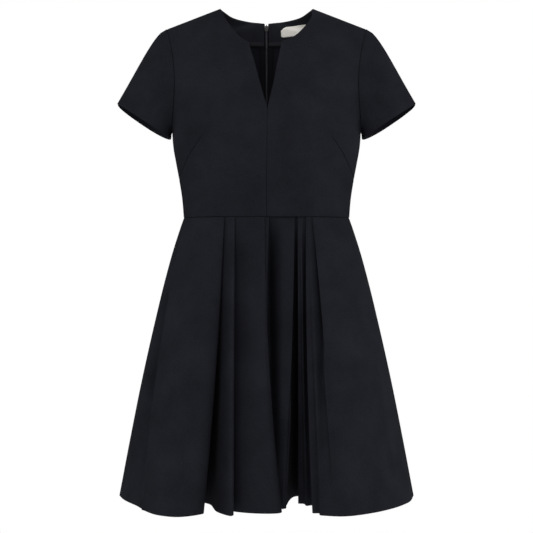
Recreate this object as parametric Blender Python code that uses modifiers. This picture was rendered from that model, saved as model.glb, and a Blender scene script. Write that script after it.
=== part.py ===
"""An A-line dress, filled out as it is when worn, with nobody in it.

Lengths are millimetres until a point is handed to Blender, which gets metres. +X is the
wearer's left, -Y is the front and +Z is up. The origin lies midway between the middles of the
two shoulder seams, where a wearer's shoulders hold the dress.

Every cloth piece is a grid of points worked out from a table of sections or folds, made a
sheet, and given its wall by a Solidify modifier. Pieces stand SEAM apart along their seams.
"""
import math
from collections import namedtuple

import bmesh
import bpy
import numpy as np
from mathutils import Matrix, Vector
from mathutils.bvhtree import BVHTree

MM = 0.001

# Driving sizes
WALL = 1.1              # thickness of the crepe
SEAM = 0.3              # gap between two pieces that are sewn together
HALF_SEAM = SEAM / 2
WAIST_Z = -369.5        # height of the waist seam
HEM_Z = -881.7          # height of the hem
WAIST_SIDE = 152.8      # half the waist's width
WAIST_FRONT = 94.5      # depth of the waist in front of the shoulder line
WAIST_BACK = 90.0       # depth of the waist behind the shoulder line
WAIST_SQUARE = 2.25     # exponent of the waist's plan, 2 being an ellipse
HEM_SIDE = 272.0        # half the hem's width
PLEAT_LAYER = 1.8       # distance between two layers of a pleat where the waist seam holds them
STRAIGHT_FALL = 130.0   # folds fall straight at the centre, and curve with the side seam from here
OPENING_REACH = 0.16    # share of the spread over which a fold opens out
WAIST_CHORD = 0.5       # half the chord along which the waist seam's direction is taken

BODICE_COLUMNS = 11     # points of each curve across half a bodice
FINE_POINTS = 81        # of a curve that is then divided into equal lengths

# Half a bodice front, from the centre to the side seam or the armhole, upwards.
# The handles are the lengths of the curve's two ends; turn is the outer end's angle to the side.
Section = namedtuple("Section", "in_x in_y in_z out_x out_y out_z in_handle out_handle turn")
FRONT_SECTIONS = {
    "waist":       (0.0, -94.5, -369.5, 152.8, 0.0, -369.5, 93, 57, 0),
    "ribs":        (0.0, -99.0, -333.0, 155.9, 0.0, -333.0, 95, 62, 0),
    "under_bust":  (0.0, -108.0, -297.0, 161.3, 0.0, -298.0, 100, 72, 0),
    "bust_low":    (0.0, -116.5, -264.0, 167.2, 0.0, -266.0, 108, 82, 0),
    "bust":        (0.0, -120.5, -236.0, 171.9, 0.0, -239.0, 112, 86, 0),
    "underarm":    (0.0, -119.5, -207.0, 174.0, 0.0, -211.0, 112, 80, 0),
    "armpit":      (0.0, -117.0, -188.0, 173.4, -22.0, -205.5, 110, 62, 12),
    "v_bottom":    (0.0, -113.5, -172.5, 171.4, -38.0, -190.0, 106, 52, 25),
    "armhole":     (11.0, -102.5, -130.0, 168.4, -50.0, -158.0, 92, 50, 42),
    "chest":       (20.0, -91.5, -92.5, 167.0, -48.5, -122.0, 76, 50, 52),
    "notch":       (30.3, -79.0, -53.8, 169.8, -38.0, -86.0, 52, 50, 60),
    "neck_low":    (51.4, -66.0, -38.8, 173.8, -26.0, -60.0, 44, 46, 68),
    "neck_side":   (71.2, -40.0, -11.2, 179.4, -13.0, -38.0, 40, 42, 76),
    "ridge":       (82.6, -14.0, 12.0, 182.8, -5.0, -23.5, 36, 38, 84),
    "shoulder":    (85.5, 0.0, 19.0, 183.5, 0.0, -18.9, 33, 33, 90),
}
FRONT_CORNERS = ("v_bottom", "notch")

# Half a bodice back, seen from behind, so that -Y is outwards as on the front.
BACK_SECTIONS = {
    "waist":       (0.0, -90.0, -369.5, 152.8, 0.0, -369.5, 93, 55, 0),
    "ribs":        (0.0, -91.5, -333.0, 155.9, 0.0, -333.0, 95, 58, 0),
    "under_blade": (0.0, -94.5, -297.0, 161.3, 0.0, -298.0, 98, 62, 0),
    "blade_low":   (0.0, -98.0, -264.0, 167.2, 0.0, -266.0, 102, 66, 0),
    "blade":       (0.0, -100.5, -236.0, 171.9, 0.0, -239.0, 104, 68, 0),
    "underarm":    (0.0, -101.5, -207.0, 174.0, 0.0, -211.0, 104, 68, 0),
    "armpit":      (0.0, -101.0, -180.0, 173.4, -22.0, -205.5, 104, 52, 14),
    "back_low":    (0.0, -99.5, -150.0, 171.6, -37.0, -189.0, 100, 48, 30),
    "armhole":     (0.0, -95.5, -115.0, 168.8, -48.0, -156.0, 92, 48, 46),
    "back_mid":    (0.0, -88.5, -78.0, 167.6, -46.5, -120.0, 84, 48, 56),
    "back_high":   (0.0, -79.0, -45.0, 170.2, -36.5, -86.0, 76, 48, 64),
    "yoke":        (0.0, -70.5, -19.0, 173.0, -28.0, -66.0, 70, 46, 70),
    "nape":        (3.6, -62.5, 2.0, 176.0, -20.0, -50.0, 60, 44, 75),
    "neck_back":   (34.0, -58.0, 4.8, 179.0, -13.5, -39.0, 48, 42, 80),
    "neck_side":   (62.0, -40.0, 9.0, 181.6, -7.5, -29.0, 38, 38, 84),
    "ridge":       (79.0, -15.0, 16.0, 183.0, -3.0, -21.2, 34, 34, 88),
    "shoulder":    (85.5, 0.0, 19.0, 183.5, 0.0, -18.9, 33, 33, 90),
}
BACK_CORNERS = ("nape",)

# The sleeve hangs from the armhole to its cuff, an oval in a tilted plane.
CUFF_TIP = (275.8, -157.4)      # X and Z of the cuff's outer end
CUFF_HEEL = (177.2, -222.0)     # X and Z of its inner end, beside the underarm
CUFF_HALF_DEPTH = 57.0
CUFF_FRONT_DROP = 1.5           # the cuff hangs a little lower behind than in front
CUFF_BACK_DROP = 6.8
CUFF_DROOP = (0.4, 1.2)         # exponents of that drop towards the tip and towards the heel
CUFF_ROUND = 0.92               # exponent that makes the cuff's ends a little blunter
SLEEVE_HANG = (0.50, 0.0, -0.866)       # direction of the cloth at the cuff
CAP_TOP = (0.991, 0.0, -0.131)          # direction in which the sleeve leaves the shoulder
CAP_UNDER = (0.97, 0.0, -0.24)          # and the underarm
CAP_SPREAD = 0.36                       # and how far it leans forwards and backwards between
LEAVE_REACH = (0.30, 0.13)              # handles of the sleeve's curves, as shares of their span,
ARRIVE_REACH = (0.30, 0.50)             # at the underarm and at the shoulder
SLEEVE_HALF_COLUMNS = 12
SLEEVE_ROWS = 7

# Side seam of the skirt: height and half width
SKIRT_SIDE = ((-369.5, 152.8), (-390.0, 160.0), (-427.0, 171.9), (-483.0, 187.4),
              (-557.0, 205.4), (-668.0, 230.3), (-779.0, 252.5), (-881.7, 272.0))

# Folds of the skirt in plan, from the side seam on the left of the view to the other end.
# A key is a point that the cloth passes. An edge or a valley is a fold's end, round which the
# cloth turns: an edge shows, and a valley lies hidden under the layer in front of it.
#   at the waist:  x, and the layer it lies in, counted inwards from the outer one
#   at the hem:    x, y, the way the fold's end points in degrees, and its radius
#   bow:           how far it stands to +X of the straight line between, half-way down
#   steps:         how many facets reach from it to the next row
#   opens:         the share of the skirt's spread at which the fold starts to open out flat;
#                  hem_turn is then the way the cloth runs there, and radius its points' distance
#   sink, at:      how far it lies back from the straight line, and the share of the height
#                  at which that is most
NEVER = 2.0             # of a fold that stays folded, because the spread ends at 1
Fold = namedtuple("Fold", "kind lap waist_x layer hem_x hem_y hem_turn radius bow steps opens sink at",
                  defaults=(NEVER, 0.0, 0.5))
FRONT_LEFT_FOLDS = {
    "side":         ("key", 0, -152.8, 0, -272, 0, 0, 0, 0, 1),
    "side_front":   ("key", 0, -151.7, 0, -258, -50, 0, 0, 0, 2),
    "side_hollow":  ("key", 0, -149.7, 0, -226.5, -120, 0, 0, 15, 1, NEVER, 30, 0.60),
    "side_step":    ("key", 0, -148.8, 0, -219.8, -143, 0, 0, 0, 1),
    "side_ridge":   ("key", 0, -148, 0, -217.5, -150, 0, 0, -4, 1),
    "ridge_face":   ("key", 0, -146.8, 0, -213.8, -157.5, 0, 0, -4, 2),
    "front_bow":    ("key", 0, -125, 0, -186, -204.5, 0, 0, 0, 2),
    "front_crest":  ("key", 0, -98, 0, -149, -223, 0, 0, 0, 2),
    "first_edge":   ("edge", 1, -75.7, 0.5, -112.4, -176, 60, 11, 7.5, 1),
    "first_valley": ("valley", -1, -99, 1.5, -129, -66, 100, 9, 0, 1),
    "second_foot":  ("key", 0, -76, 2, -102, -95, 0, 0, 3, 2, NEVER, -20, 0.40),
    "second_rise":  ("key", 0, -66, 1, -84.5, -176, 0, 0, 0, 2),
    "second_edge":  ("edge", 1, -57, 0.5, -56.5, -203, 25, 8, 0, 1),
    "second_valley": ("valley", -1, -70, 3.0, -80, -152, 190, 5, 0, 1),
    "centre_foot":  ("key", 0, -56, 2.2, -55, -171, 0, 0, 0, 2, NEVER, 8, 0.35),
    "centre_rise":  ("key", 0, -30, 1.1, -23, -187.5, 0, 0, 0, 2),
    "centre_crest": ("key", 0, -14, 0.4, 8, -191, 0, 0, 0, 2),
    "third_edge":   ("edge", 1, -3.6, 0.5, 26, -174, 30, 8, -7, 1),
    "third_valley": ("valley", -1, -16, 1.9, 0, -162, 180, 4, -7, 1),
    "strip_edge":   ("edge", 1, 4.5, 2.4, 14, -150, 10, 4, -7, 1, NEVER, 5, 0.20),
    "strip_valley": ("valley", -1, -8, 3.6, -4, -138, 180, 5, -7, 1, NEVER, 5, 0.20),
}
FRONT_RIGHT_FOLDS = {
    "strip_valley": ("valley", -1, -8, 3.6, -4, -138, 180, 5, -7, 1, NEVER, 5, 0.20),
    "hollow_start": ("key", 0, 5, 4.0, 14, -139, 0, 0, -4, 1, NEVER, 48, 0.33),
    "hollow_front": ("key", 0, 27, 4.0, 24, -142, 0, 0, 0, 2, NEVER, 4, 0.33),
    "hollow_edge":  ("edge", 1, 50.9, 4.1, 31, -142, 45, 4, 4, 1, 0.60),
    "hollow_back":  ("valley", -1, 39, 5.1, 35, -110, 82, 8, 4, 2, 0.60),
    "hollow_wall":  ("key", 0, 56, 5.6, 42, -52, 0, 0, 2, 2),
    "hollow":       ("valley", 1, 74, 5.0, 61, -6, 80, 8, 0, 2),
    "fourth_edge":  ("edge", -1, 56.4, 3.2, 57, -88, 205, 7, 0, 1, NEVER, -11, 0.33),
    "fourth_rise":  ("key", 0, 62.5, 2.8, 71, -112, 0, 0, -2, 1, NEVER, -12, 0.33),
    "fourth_fall":  ("key", 0, 69.5, 3.3, 80.5, -107, 0, 0, -3, 2, NEVER, -4, 0.33),
    "fifth_valley": ("valley", 1, 86, 3.2, 101, -118, 20, 6, -2, 1),
    "fifth_edge":   ("edge", -1, 71.2, 2.0, 79.6, -186, 215, 9, -4, 1),
    "fifth_rise":   ("key", 0, 77.4, 1.5, 91, -206, 0, 0, 0, 1),
    "sixth_valley": ("valley", 1, 96, 1.5, 106, -213, -20, 5, 0, 1, 0.47, 12, 0.33),
    "sixth_edge":   ("edge", -1, 82.2, 0.5, 121, -217, -8, 5, 0, 1, 0.47),
    "front_crest":  ("key", 0, 104, 0, 147, -211.5, 0, 0, 0, 2),
    "front_bow":    ("key", 0, 125, 0, 189, -178, 0, 0, 0, 2),
    "side_ridge":   ("key", 0, 141, 0, 231, -124, 0, 0, 0, 2),
    "side_front":   ("key", 0, 149.5, 0, 257.5, -70, 0, 0, 0, 1),
    "side":         ("key", 0, 152.8, 0, 272, 0, 0, 0, 0, 1),
}
# Half a skirt back, seen from behind, from the side seam to the centre back
BACK_FOLDS = {
    "side":         ("key", 0, -152.8, 0, -272, 0, 0, 0, 0, 1),
    "side_back":    ("key", 0, -149.5, 0, -262, -50, 0, 0, 0, 2),
    "side_ridge":   ("key", 0, -138, 0, -232, -116, 0, 0, 0, 2),
    "back_bow":     ("key", 0, -114, 0, -190, -170, 0, 0, 0, 2),
    "back_crest":   ("key", 0, -90, 0, -150, -192, 0, 0, 0, 2),
    "outer_edge":   ("edge", 1, -70, 0.5, -116, -180, 50, 10, 3, 1),
    "outer_valley": ("valley", -1, -88, 1.5, -131, -122, 110, 9, 0, 1),
    "inner_foot":   ("key", 0, -70, 2, -108, -138, 0, 0, 0, 2),
    "inner_rise":   ("key", 0, -54, 1, -82, -186, 0, 0, 0, 2),
    "inner_edge":   ("edge", 1, -40, 0.5, -54, -199, 35, 9, 2, 1),
    "inner_valley": ("valley", -1, -57, 2.6, -70, -148, 130, 8, 0, 1),
    "centre_foot":  ("key", 0, -40, 2, -50, -166, 0, 0, 0, 2),
    "centre_rise":  ("key", 0, -24, 1, -27, -190, 0, 0, 0, 2),
    "centre":       ("key", 0, 0, 0, 0, -197, 0, 0, 0, 1),
}
SKIRT_LEVELS = (0.0, 0.035, 0.10, 0.20, 0.34, 0.50, 0.66, 0.83, 1.0)   # shares of waist to hem

# Back neck facing: its outer edge as seen from behind, from the centre to the shoulder
FACING_EDGE = ((0.0, -74.0, -39.0), (45.0, -66.0, -38.0), (86.0, -44.0, -27.0),
               (111.0, -19.0, -6.0), (121.5, -0.6, 4.3))
FACING_COLUMNS = 11
FACING_ROWS = 4
FACING_CENTRE = 4.6         # the facing stops this far from the zip's middle
FACING_TUCK = 3.7           # depth of its outer face inside the back's where it covers the tape
FACING_LIE = 2.9            # and where it lies on the back itself
TAPE_REACH = (14.0, 26.0)   # between these distances from the centre it goes from one to the other

# Label on the facing: a bare woven strip with clipped corners
LABEL_COLUMNS = 10
LABEL_ROWS = 3
LABEL_X = (28.4, 84.0)
LABEL_Y = (-64.0, -38.0)
LABEL_Z = (-23.5, -3.5)
LABEL_CLIP = 2.5
LABEL_SLANT = (22.0, 9.0)   # how far its top edge slants at the end by the zip, and falls
LABEL_DEPTH = 1.7           # of its outer face inside the facing's
LABEL_WALL = 1.0

# Concealed zip in the centre back seam, from its foot in the skirt up to the neck
TAPE_WALL = 1.0
TAPE_X = (1.1, 7.0, 13.0)
TAPE_TOP = -7.0
TAPE_LEVELS = (-528, -500, -470, -440, -415, -395, -382, -369.5, -357, -345, -320, -290, -262, -236,
               -207, -180, -150, -115, -78, -45, -19)
WAIST_PUSH = 1.1            # the waist seam's layers push the tape in by this
WAIST_PUSH_REACH = 22.0     # and the push dies out within about this height
TAPE_DEPTH = 1.7            # of its outer face inside the back's
COIL_X = (-2.0, 0.0, 2.0)
COIL_WALL = 1.4
COIL_TOP = -11.5

# Slider inside the back, with a narrow neck out through the seam to the pull's pin
SLIDER_WIDTH = 9.6          # at its top
SLIDER_FOOT = 6.0           # its width at its foot
SLIDER_HEIGHT = 9.8
SLIDER_WALL = 1.8
SLIDER_RISE = 4.4           # of its top above the pin
SLIDER_DEPTH = 5.3          # of its outer face inside the back's
SLIDER_ROUND = 0.5          # bevel of its edges
DIVIDER_WIDTH = 3.4         # of the divider that stands up between the two tapes
DIVIDER_TIP = 1.0           # its width at its top
DIVIDER_RISE = 2.5          # of its top above the plate's
DIVIDER_ROOT = 1.5          # how far it reaches into the plate
DIVIDER_INSET = 0.3         # of its faces from the plate's
NECK_HALF_WIDTH = 0.6
NECK_RISE = 1.2
NECK_DROP = 1.2
PIN_Z = -4.6
PIN_OUT = 2.3               # of the pull's pin outside the back
PIN_RADIUS = 0.55
PIN_HALF_LENGTH = 2.4
ROD_SIDES = 14

# Pull tab, with an eye at each side of the slider's neck
EYE_RADIUS = 1.35
EYE_BORE = 0.85
BORE_OVERRUN = 1.0          # the bore's cutter runs on this far past each eye
EYE_X = (0.9, 2.0)
ARM_LENGTH = 0.7            # the tab starts this far below its eyes
ARM_ROOT = 1.0              # and its arms reach this far into it
PULL_LENGTH = 24.0
PULL_WIDTH = 4.4
PULL_THICK = 1.0
PULL_ROUND = 0.35

NAVY = (0.0125, 0.0135, 0.0185)
COLOURS = {
    "crepe": (NAVY, 0.72, 0.0),
    "facing": ((0.0085, 0.0088, 0.012), 0.80, 0.0),
    "tape": ((0.010, 0.010, 0.013), 0.85, 0.0),
    "coil": ((0.16, 0.16, 0.17), 0.45, 0.4),
    "metal": ((0.22, 0.22, 0.23), 0.35, 0.9),
    "label": ((0.78, 0.75, 0.68), 0.70, 0.0),
}


# ---------------------------------------------------------------- scene

def clear_scene():
    for old in list(bpy.data.objects):
        bpy.data.objects.remove(old, do_unlink=True)


def new_collection(name):
    collection = bpy.data.collections.new(name)
    bpy.context.scene.collection.children.link(collection)
    return collection


def material(name):
    """A Principled material with its own name, in one of the dress's colours."""
    colour, roughness, metallic = COLOURS[name]
    made = bpy.data.materials.new(name)
    made.use_nodes = True
    shader = made.node_tree.nodes["Principled BSDF"]
    shader.inputs["Base Color"].default_value = (*colour, 1.0)
    shader.inputs["Roughness"].default_value = roughness
    shader.inputs["Metallic"].default_value = metallic
    made.diffuse_color = (*colour, 1.0)
    return made


def mesh_object(name, points, faces, finish):
    mesh = bpy.data.meshes.new(name)
    mesh.from_pydata([Vector(point) * MM for point in points], [], faces)
    mesh.validate()
    mesh.shade_smooth()
    made = bpy.data.objects.new(name, mesh)
    mesh.materials.append(material(finish))
    PARTS.objects.link(made)
    return made


def grid_faces(rows, columns, closed=False):
    """Quads of a grid whose columns run to the right and whose rows run upwards."""
    faces = []
    for row in range(rows - 1):
        for column in range(columns if closed else columns - 1):
            right = (column + 1) % columns
            low, high = row * columns, (row + 1) * columns
            faces.append((low + column, low + right, high + right, high + column))
    return faces


def cloth(name, grid, finish="crepe", wall=WALL, side=-1.0, closed=False):
    """A sheet through a grid of points, with a wall on its inside (side -1) or on both (0)."""
    grid = np.asarray(grid, float)
    rows, columns = grid.shape[:2]
    made = mesh_object(name, grid.reshape(-1, 3), grid_faces(rows, columns, closed), finish)
    shell = made.modifiers.new("Wall", "SOLIDIFY")
    shell.thickness = wall * MM
    shell.offset = side
    shell.use_even_offset = True
    shell.use_quality_normals = True
    return made


def outward(grid):
    """The unit normals of a sheet, from its own facets along its edges."""
    along = np.gradient(grid, axis=1)
    up = np.gradient(grid, axis=0)
    normals = np.cross(along, up)
    return normals / np.linalg.norm(normals, axis=2)[:, :, None]


def sewn(grid, part, across, side=-1.0):
    """Draw an edge back from its seam, so that the walls stay half a gap short of it.

    part is the edge's index in the grid, and across points over the seam. Where the wall leans
    over the seam on the inside, the edge is drawn back by that much more.
    """
    across = np.array(across, float)
    lean = outward(grid)[part] @ across
    reach = np.maximum(-lean, 0.0) * WALL if side else np.abs(lean) * WALL / 2
    moved = grid.copy()
    moved[part] -= (HALF_SEAM + reach)[:, None] * across
    return moved


FIRST_COLUMN = (slice(None), 0)
LAST_COLUMN = (slice(None), -1)
BOTTOM_ROW = (0, slice(None))
TOP_ROW = (-1, slice(None))


def mirrored(grid):
    """The same sheet on the other side of the dress, its faces still pointing out."""
    return np.asarray(grid)[:, ::-1] * (-1.0, 1.0, 1.0)


def from_behind(grid):
    """A sheet that was worked out as seen from behind, put where it belongs."""
    return np.asarray(grid) * (-1.0, -1.0, 1.0)


# ---------------------------------------------------------------- curves

def mix(start, end, share):
    return start + (end - start) * share


def smooth(share):
    share = min(max(share, 0.0), 1.0)
    return share * share * (3 - 2 * share)


def spline(keys, place, corners=()):
    """A smooth curve through the keys, at a place counted in keys, with a corner where asked."""
    last = len(keys) - 1
    first = min(int(place), last - 1)
    share = place - first

    def slope(key):
        if key in (0, last) or key in corners:
            step = 1 if key == first else -1
            return (keys[key + step] - keys[key]) * step
        return (keys[key + 1] - keys[key - 1]) / 2

    start, end = keys[first], keys[first + 1]
    leave, arrive = slope(first), slope(first + 1)
    square, cube = share ** 2, share ** 3
    return ((2 * cube - 3 * square + 1) * start + (cube - 2 * square + share) * leave
            + (3 * square - 2 * cube) * end + (cube - square) * arrive)


def bezier(start, leave, arrive, end, share):
    rest = 1 - share
    return (rest ** 3 * start + 3 * rest ** 2 * share * leave
            + 3 * rest * share ** 2 * arrive + share ** 3 * end)


def even_shares(points, count):
    """Places, counted in points, that divide a curve into equal lengths."""
    lengths = np.linalg.norm(np.diff(points, axis=0), axis=1)
    travelled = np.concatenate(([0.0], np.cumsum(lengths)))
    wanted = np.linspace(0.0, travelled[-1], count)
    return np.interp(wanted, travelled, np.arange(len(points)))


# ---------------------------------------------------------------- bodice

class Bodice:
    """Half a bodice, front or back: curves from its centre edge to its side seam or armhole."""

    def __init__(self, sections, corners):
        self.names = list(sections)
        self.keys = np.array([Section(*row) for row in sections.values()], float)
        self.corners = {self.names.index(name) for name in corners}
        self.underarm = self.names.index("underarm")
        self.top = len(self.names) - 1

    def section(self, place):
        inner = spline(self.keys[:, 0:3], place, self.corners)
        outer = spline(self.keys[:, 3:6], place, {self.underarm})
        in_handle, out_handle, turn = spline(self.keys[:, 6:9], place)
        return inner, outer, in_handle, out_handle, math.radians(turn)

    def point(self, place, share):
        inner, outer, in_handle, out_handle, turn = self.section(place)
        leave = inner[:2] + (in_handle, 0.0)
        arrive = outer[:2] - (out_handle * math.sin(turn), out_handle * math.cos(turn))
        x, y = bezier(inner[:2], leave, arrive, outer[:2], share)
        across = (x - inner[0]) / (outer[0] - inner[0])
        return np.array((x, y, mix(inner[2], outer[2], across)))

    def armhole(self, place):
        return self.section(place)[1]

    def grid(self, places, columns):
        """The sheet between its seams: centre, side, armhole, shoulder and waist."""
        shares = np.linspace(0, 1, columns)
        grid = np.array([[self.point(place, share) for share in shares] for place in places])
        side_rows = sum(place <= self.underarm for place in places)
        grid = sewn(grid, FIRST_COLUMN, (-1, 0, 0))
        grid = sewn(grid, (slice(0, side_rows), -1), (0, 1, 0))
        grid = sewn(grid, (slice(side_rows, None), -1), (1, 0, 0))
        grid = sewn(grid, TOP_ROW, (0, 1, 0))
        return sewn(grid, BOTTOM_ROW, (0, 0, -1))


def bodice_places(bodice):
    """A row at each section, and one between where the sections lie far apart."""
    places = []
    for key in range(bodice.top):
        places.append(float(key))
        if bodice.names[key] in ("v_bottom", "armhole", "notch", "neck_low", "nape", "neck_back"):
            places.append(key + 0.5)
    return places + [float(bodice.top)]


def build_bodice():
    front = FRONT.grid(bodice_places(FRONT), BODICE_COLUMNS)
    back = BACK.grid(bodice_places(BACK), BODICE_COLUMNS)
    cloth("bodice_front_left", front)
    cloth("bodice_front_right", mirrored(front))
    cloth("bodice_back_right", from_behind(back))
    cloth("bodice_back_left", from_behind(mirrored(back)))
    return back


# ---------------------------------------------------------------- sleeves

def armhole_half(bodice, count, facing):
    """Evenly spaced points of the armhole from the shoulder down to the underarm."""
    fine = [bodice.armhole(place) for place in np.linspace(bodice.top, bodice.underarm, FINE_POINTS)]
    places = even_shares(fine, count)
    return [spline(np.array(fine), place) * (1.0, facing, 1.0) for place in places]


def cuff_point(turn, facing):
    """A point of the cuff: turn runs from 0 at its outer tip to pi beside the underarm."""
    half_width = (CUFF_TIP[0] - CUFF_HEEL[0]) / 2
    x = CUFF_TIP[0] - half_width * (1 - math.cos(turn))
    y = facing * CUFF_HALF_DEPTH * math.sin(turn) ** CUFF_ROUND
    drop = CUFF_FRONT_DROP if facing < 0 else CUFF_BACK_DROP
    z = mix(CUFF_TIP[1], CUFF_HEEL[1], (CUFF_TIP[0] - x) / (2 * half_width))
    droop = max(math.sin(turn), 0.0) ** CUFF_DROOP[int(turn > math.pi / 2)]
    return np.array((x, y, z - drop * droop))


def sleeve_grid(half_columns, rows):
    """The wearer's left sleeve, from the cuff up to the armhole, its columns running round it."""
    front = armhole_half(FRONT, half_columns + 1, 1.0)
    back = armhole_half(BACK, half_columns + 1, -1.0)
    lines = []
    for facing, half in ((-1, front), (1, back)):
        for number, start in enumerate(half):
            turn = math.pi * number / half_columns
            top = (1 + math.cos(turn)) / 2
            leave = mix(np.array(CAP_UNDER), np.array(CAP_TOP), top)
            leave = leave + (0.0, facing * CAP_SPREAD * math.sin(turn), 0.0)
            end = cuff_point(turn, facing)
            reach = np.linalg.norm(end - start)
            leave = start + leave * reach * mix(*LEAVE_REACH, top)
            arrive = end - np.array(SLEEVE_HANG) * reach * mix(*ARRIVE_REACH, top)
            lines.append([bezier(start, leave, arrive, end, share) for share in np.linspace(1, 0, rows)])
    front_lines = lines[:half_columns + 1]
    back_lines = lines[half_columns + 1:]
    around = front_lines[::-1] + back_lines[1:-1]
    return sewn(np.array(around).transpose(1, 0, 2), TOP_ROW, (-1, 0, 0))


def build_sleeves():
    grid = sleeve_grid(SLEEVE_HALF_COLUMNS, SLEEVE_ROWS)
    cloth("sleeve_left", grid, closed=True)
    cloth("sleeve_right", mirrored(grid), closed=True)


# ---------------------------------------------------------------- skirt

def skirt_side(z):
    heights = [row[0] for row in reversed(SKIRT_SIDE)]
    widths = [row[1] for row in reversed(SKIRT_SIDE)]
    return float(np.interp(z, heights, widths))


def flare(z):
    """How much of the skirt's spread it has at a height: 0 at the waist, 1 at the hem."""
    return (skirt_side(z) - WAIST_SIDE) / (HEM_SIDE - WAIST_SIDE)


def waist_y(x, depth):
    return -depth * (1 - min(abs(x) / WAIST_SIDE, 1) ** WAIST_SQUARE) ** (1 / WAIST_SQUARE)


def waist_point(x, layer, depth):
    """A point of the waist seam in a layer of the pleats, and the seam's direction there."""
    left, right = max(x - WAIST_CHORD, -WAIST_SIDE), min(x + WAIST_CHORD, WAIST_SIDE)
    along = np.array((right - left, waist_y(right, depth) - waist_y(left, depth)))
    along /= np.linalg.norm(along)
    inwards = np.array((-along[1], along[0]))
    return np.array((x, waist_y(x, depth))) + layer * PLEAT_LAYER * inwards, along


def fold_end(fold, tip, turn, size):
    """The three points round which the cloth turns at the end of a fold."""
    ahead = np.array((math.cos(math.radians(turn)), math.sin(math.radians(turn))))
    beside = np.array((-ahead[1], ahead[0])) * (1 if fold.kind == "edge" else -1)
    return [tip - size * (ahead + beside), tip, tip - size * (ahead - beside)]


def swell(share, at):
    """A bump that grows from 0, is 1 at a share of the way, and dies out towards 1."""
    return (share / at) ** (2 * at / (1 - at)) * ((1 - share) / (1 - at)) ** 2


def fold_points(fold, z, depth):
    """A key's point at a height, or the three points of a fold's end."""
    fold = Fold(*fold)
    down = (WAIST_Z - z) / (WAIST_Z - HEM_Z)
    spread = flare(z)
    waist, along = waist_point(fold.waist_x, fold.layer, depth)
    near_side = min(abs(fold.waist_x) / STRAIGHT_FALL, 1.0)
    x = mix(waist[0], fold.hem_x, mix(down, spread, near_side)) + fold.bow * 4 * down * (1 - down)
    tip = np.array((x, mix(waist[1], fold.hem_y, spread) + fold.sink * swell(down, fold.at)))
    if fold.kind == "key":
        return [tip]
    waist_turn = math.degrees(math.atan2(along[1], along[0])) + (0 if fold.lap > 0 else 180)
    folded = fold_end(fold, tip, waist_turn, PLEAT_LAYER / 2)
    if fold.opens == NEVER:
        turn = mix(waist_turn, fold.hem_turn, spread)
        return fold_end(fold, tip, turn, mix(PLEAT_LAYER / 2, fold.radius, spread))
    run = math.radians(fold.hem_turn)
    reach = np.array((math.cos(run), math.sin(run))) * fold.radius
    flat = (tip - reach, tip, tip + reach)
    opened = smooth((spread - fold.opens) / OPENING_REACH)
    return [mix(bent, spread_out, opened) for bent, spread_out in zip(folded, flat)]


def through(keys, number, share):
    """A point between two keys of a plan, on a centripetal curve that never loops."""
    here, there = keys[number], keys[number + 1]
    before = keys[number - 1] if number > 0 else 2 * here - there
    after = keys[number + 2] if number + 2 < len(keys) else 2 * there - here
    points = (before, here, there, after)
    knots = [0.0]
    for near, far in zip(points, points[1:]):
        knots.append(knots[-1] + max(np.linalg.norm(far - near), 1e-6) ** 0.5)
    place = mix(knots[1], knots[2], share)

    def between(low, high, start, end):
        return ((knots[high] - place) * start + (place - knots[low]) * end) / (knots[high] - knots[low])

    first = between(0, 1, before, here)
    second = between(1, 2, here, there)
    third = between(2, 3, there, after)
    return between(1, 2, between(0, 2, first, second), between(1, 3, second, third))


def plan(folds, z, depth):
    """The skirt's plan at one height through a table of folds."""
    keys, steps = [], []
    for fold in folds.values():
        points = fold_points(fold, z, depth)
        keys += points
        steps += [1] * (len(points) - 1) + [Fold(*fold).steps]
    outline = []
    for number in range(len(keys) - 1):
        count = steps[number]
        outline += [through(keys, number, share / count) for share in range(count)]
    outline.append(keys[-1])
    return np.array(outline)


def skirt_grid(folds, depth):
    """Rows from the hem up to the waist seam."""
    rows = []
    for share in reversed(SKIRT_LEVELS):
        z = mix(WAIST_Z, HEM_Z, share)
        outline = plan(folds, z, depth)
        rows.append(np.column_stack((outline, np.full(len(outline), z))))
    return sewn(np.array(rows), TOP_ROW, (0, 0, 1), 0.0)


def split_valley(grid, keep):
    """Cut a front panel at the middle of the valley that hides the centre front seam."""
    if keep == "before":
        grid = grid[:, :-1].copy()
        end, inside = grid[:, -1], grid[:, -2]
    else:
        grid = grid[:, 1:].copy()
        end, inside = grid[:, 0], grid[:, 1]
    back = inside - end
    end += back / np.linalg.norm(back, axis=1)[:, None] * (SEAM + WALL / 2)
    return grid


def build_skirt():
    front_right = split_valley(skirt_grid(FRONT_RIGHT_FOLDS, WAIST_FRONT), "after")
    front_left = split_valley(skirt_grid(FRONT_LEFT_FOLDS, WAIST_FRONT), "before")
    cloth("skirt_front_left", sewn(front_right, LAST_COLUMN, (0, 1, 0), 0.0), side=0.0)
    cloth("skirt_front_right", sewn(front_left, FIRST_COLUMN, (0, 1, 0), 0.0), side=0.0)
    back = sewn(skirt_grid(BACK_FOLDS, WAIST_BACK), FIRST_COLUMN, (0, 1, 0), 0.0)
    back = sewn(back, LAST_COLUMN, (1, 0, 0), 0.0)
    cloth("skirt_back_left", from_behind(back), side=0.0)
    cloth("skirt_back_right", from_behind(mirrored(back)), side=0.0)
    return back


# ---------------------------------------------------------------- what lies inside the back

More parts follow.
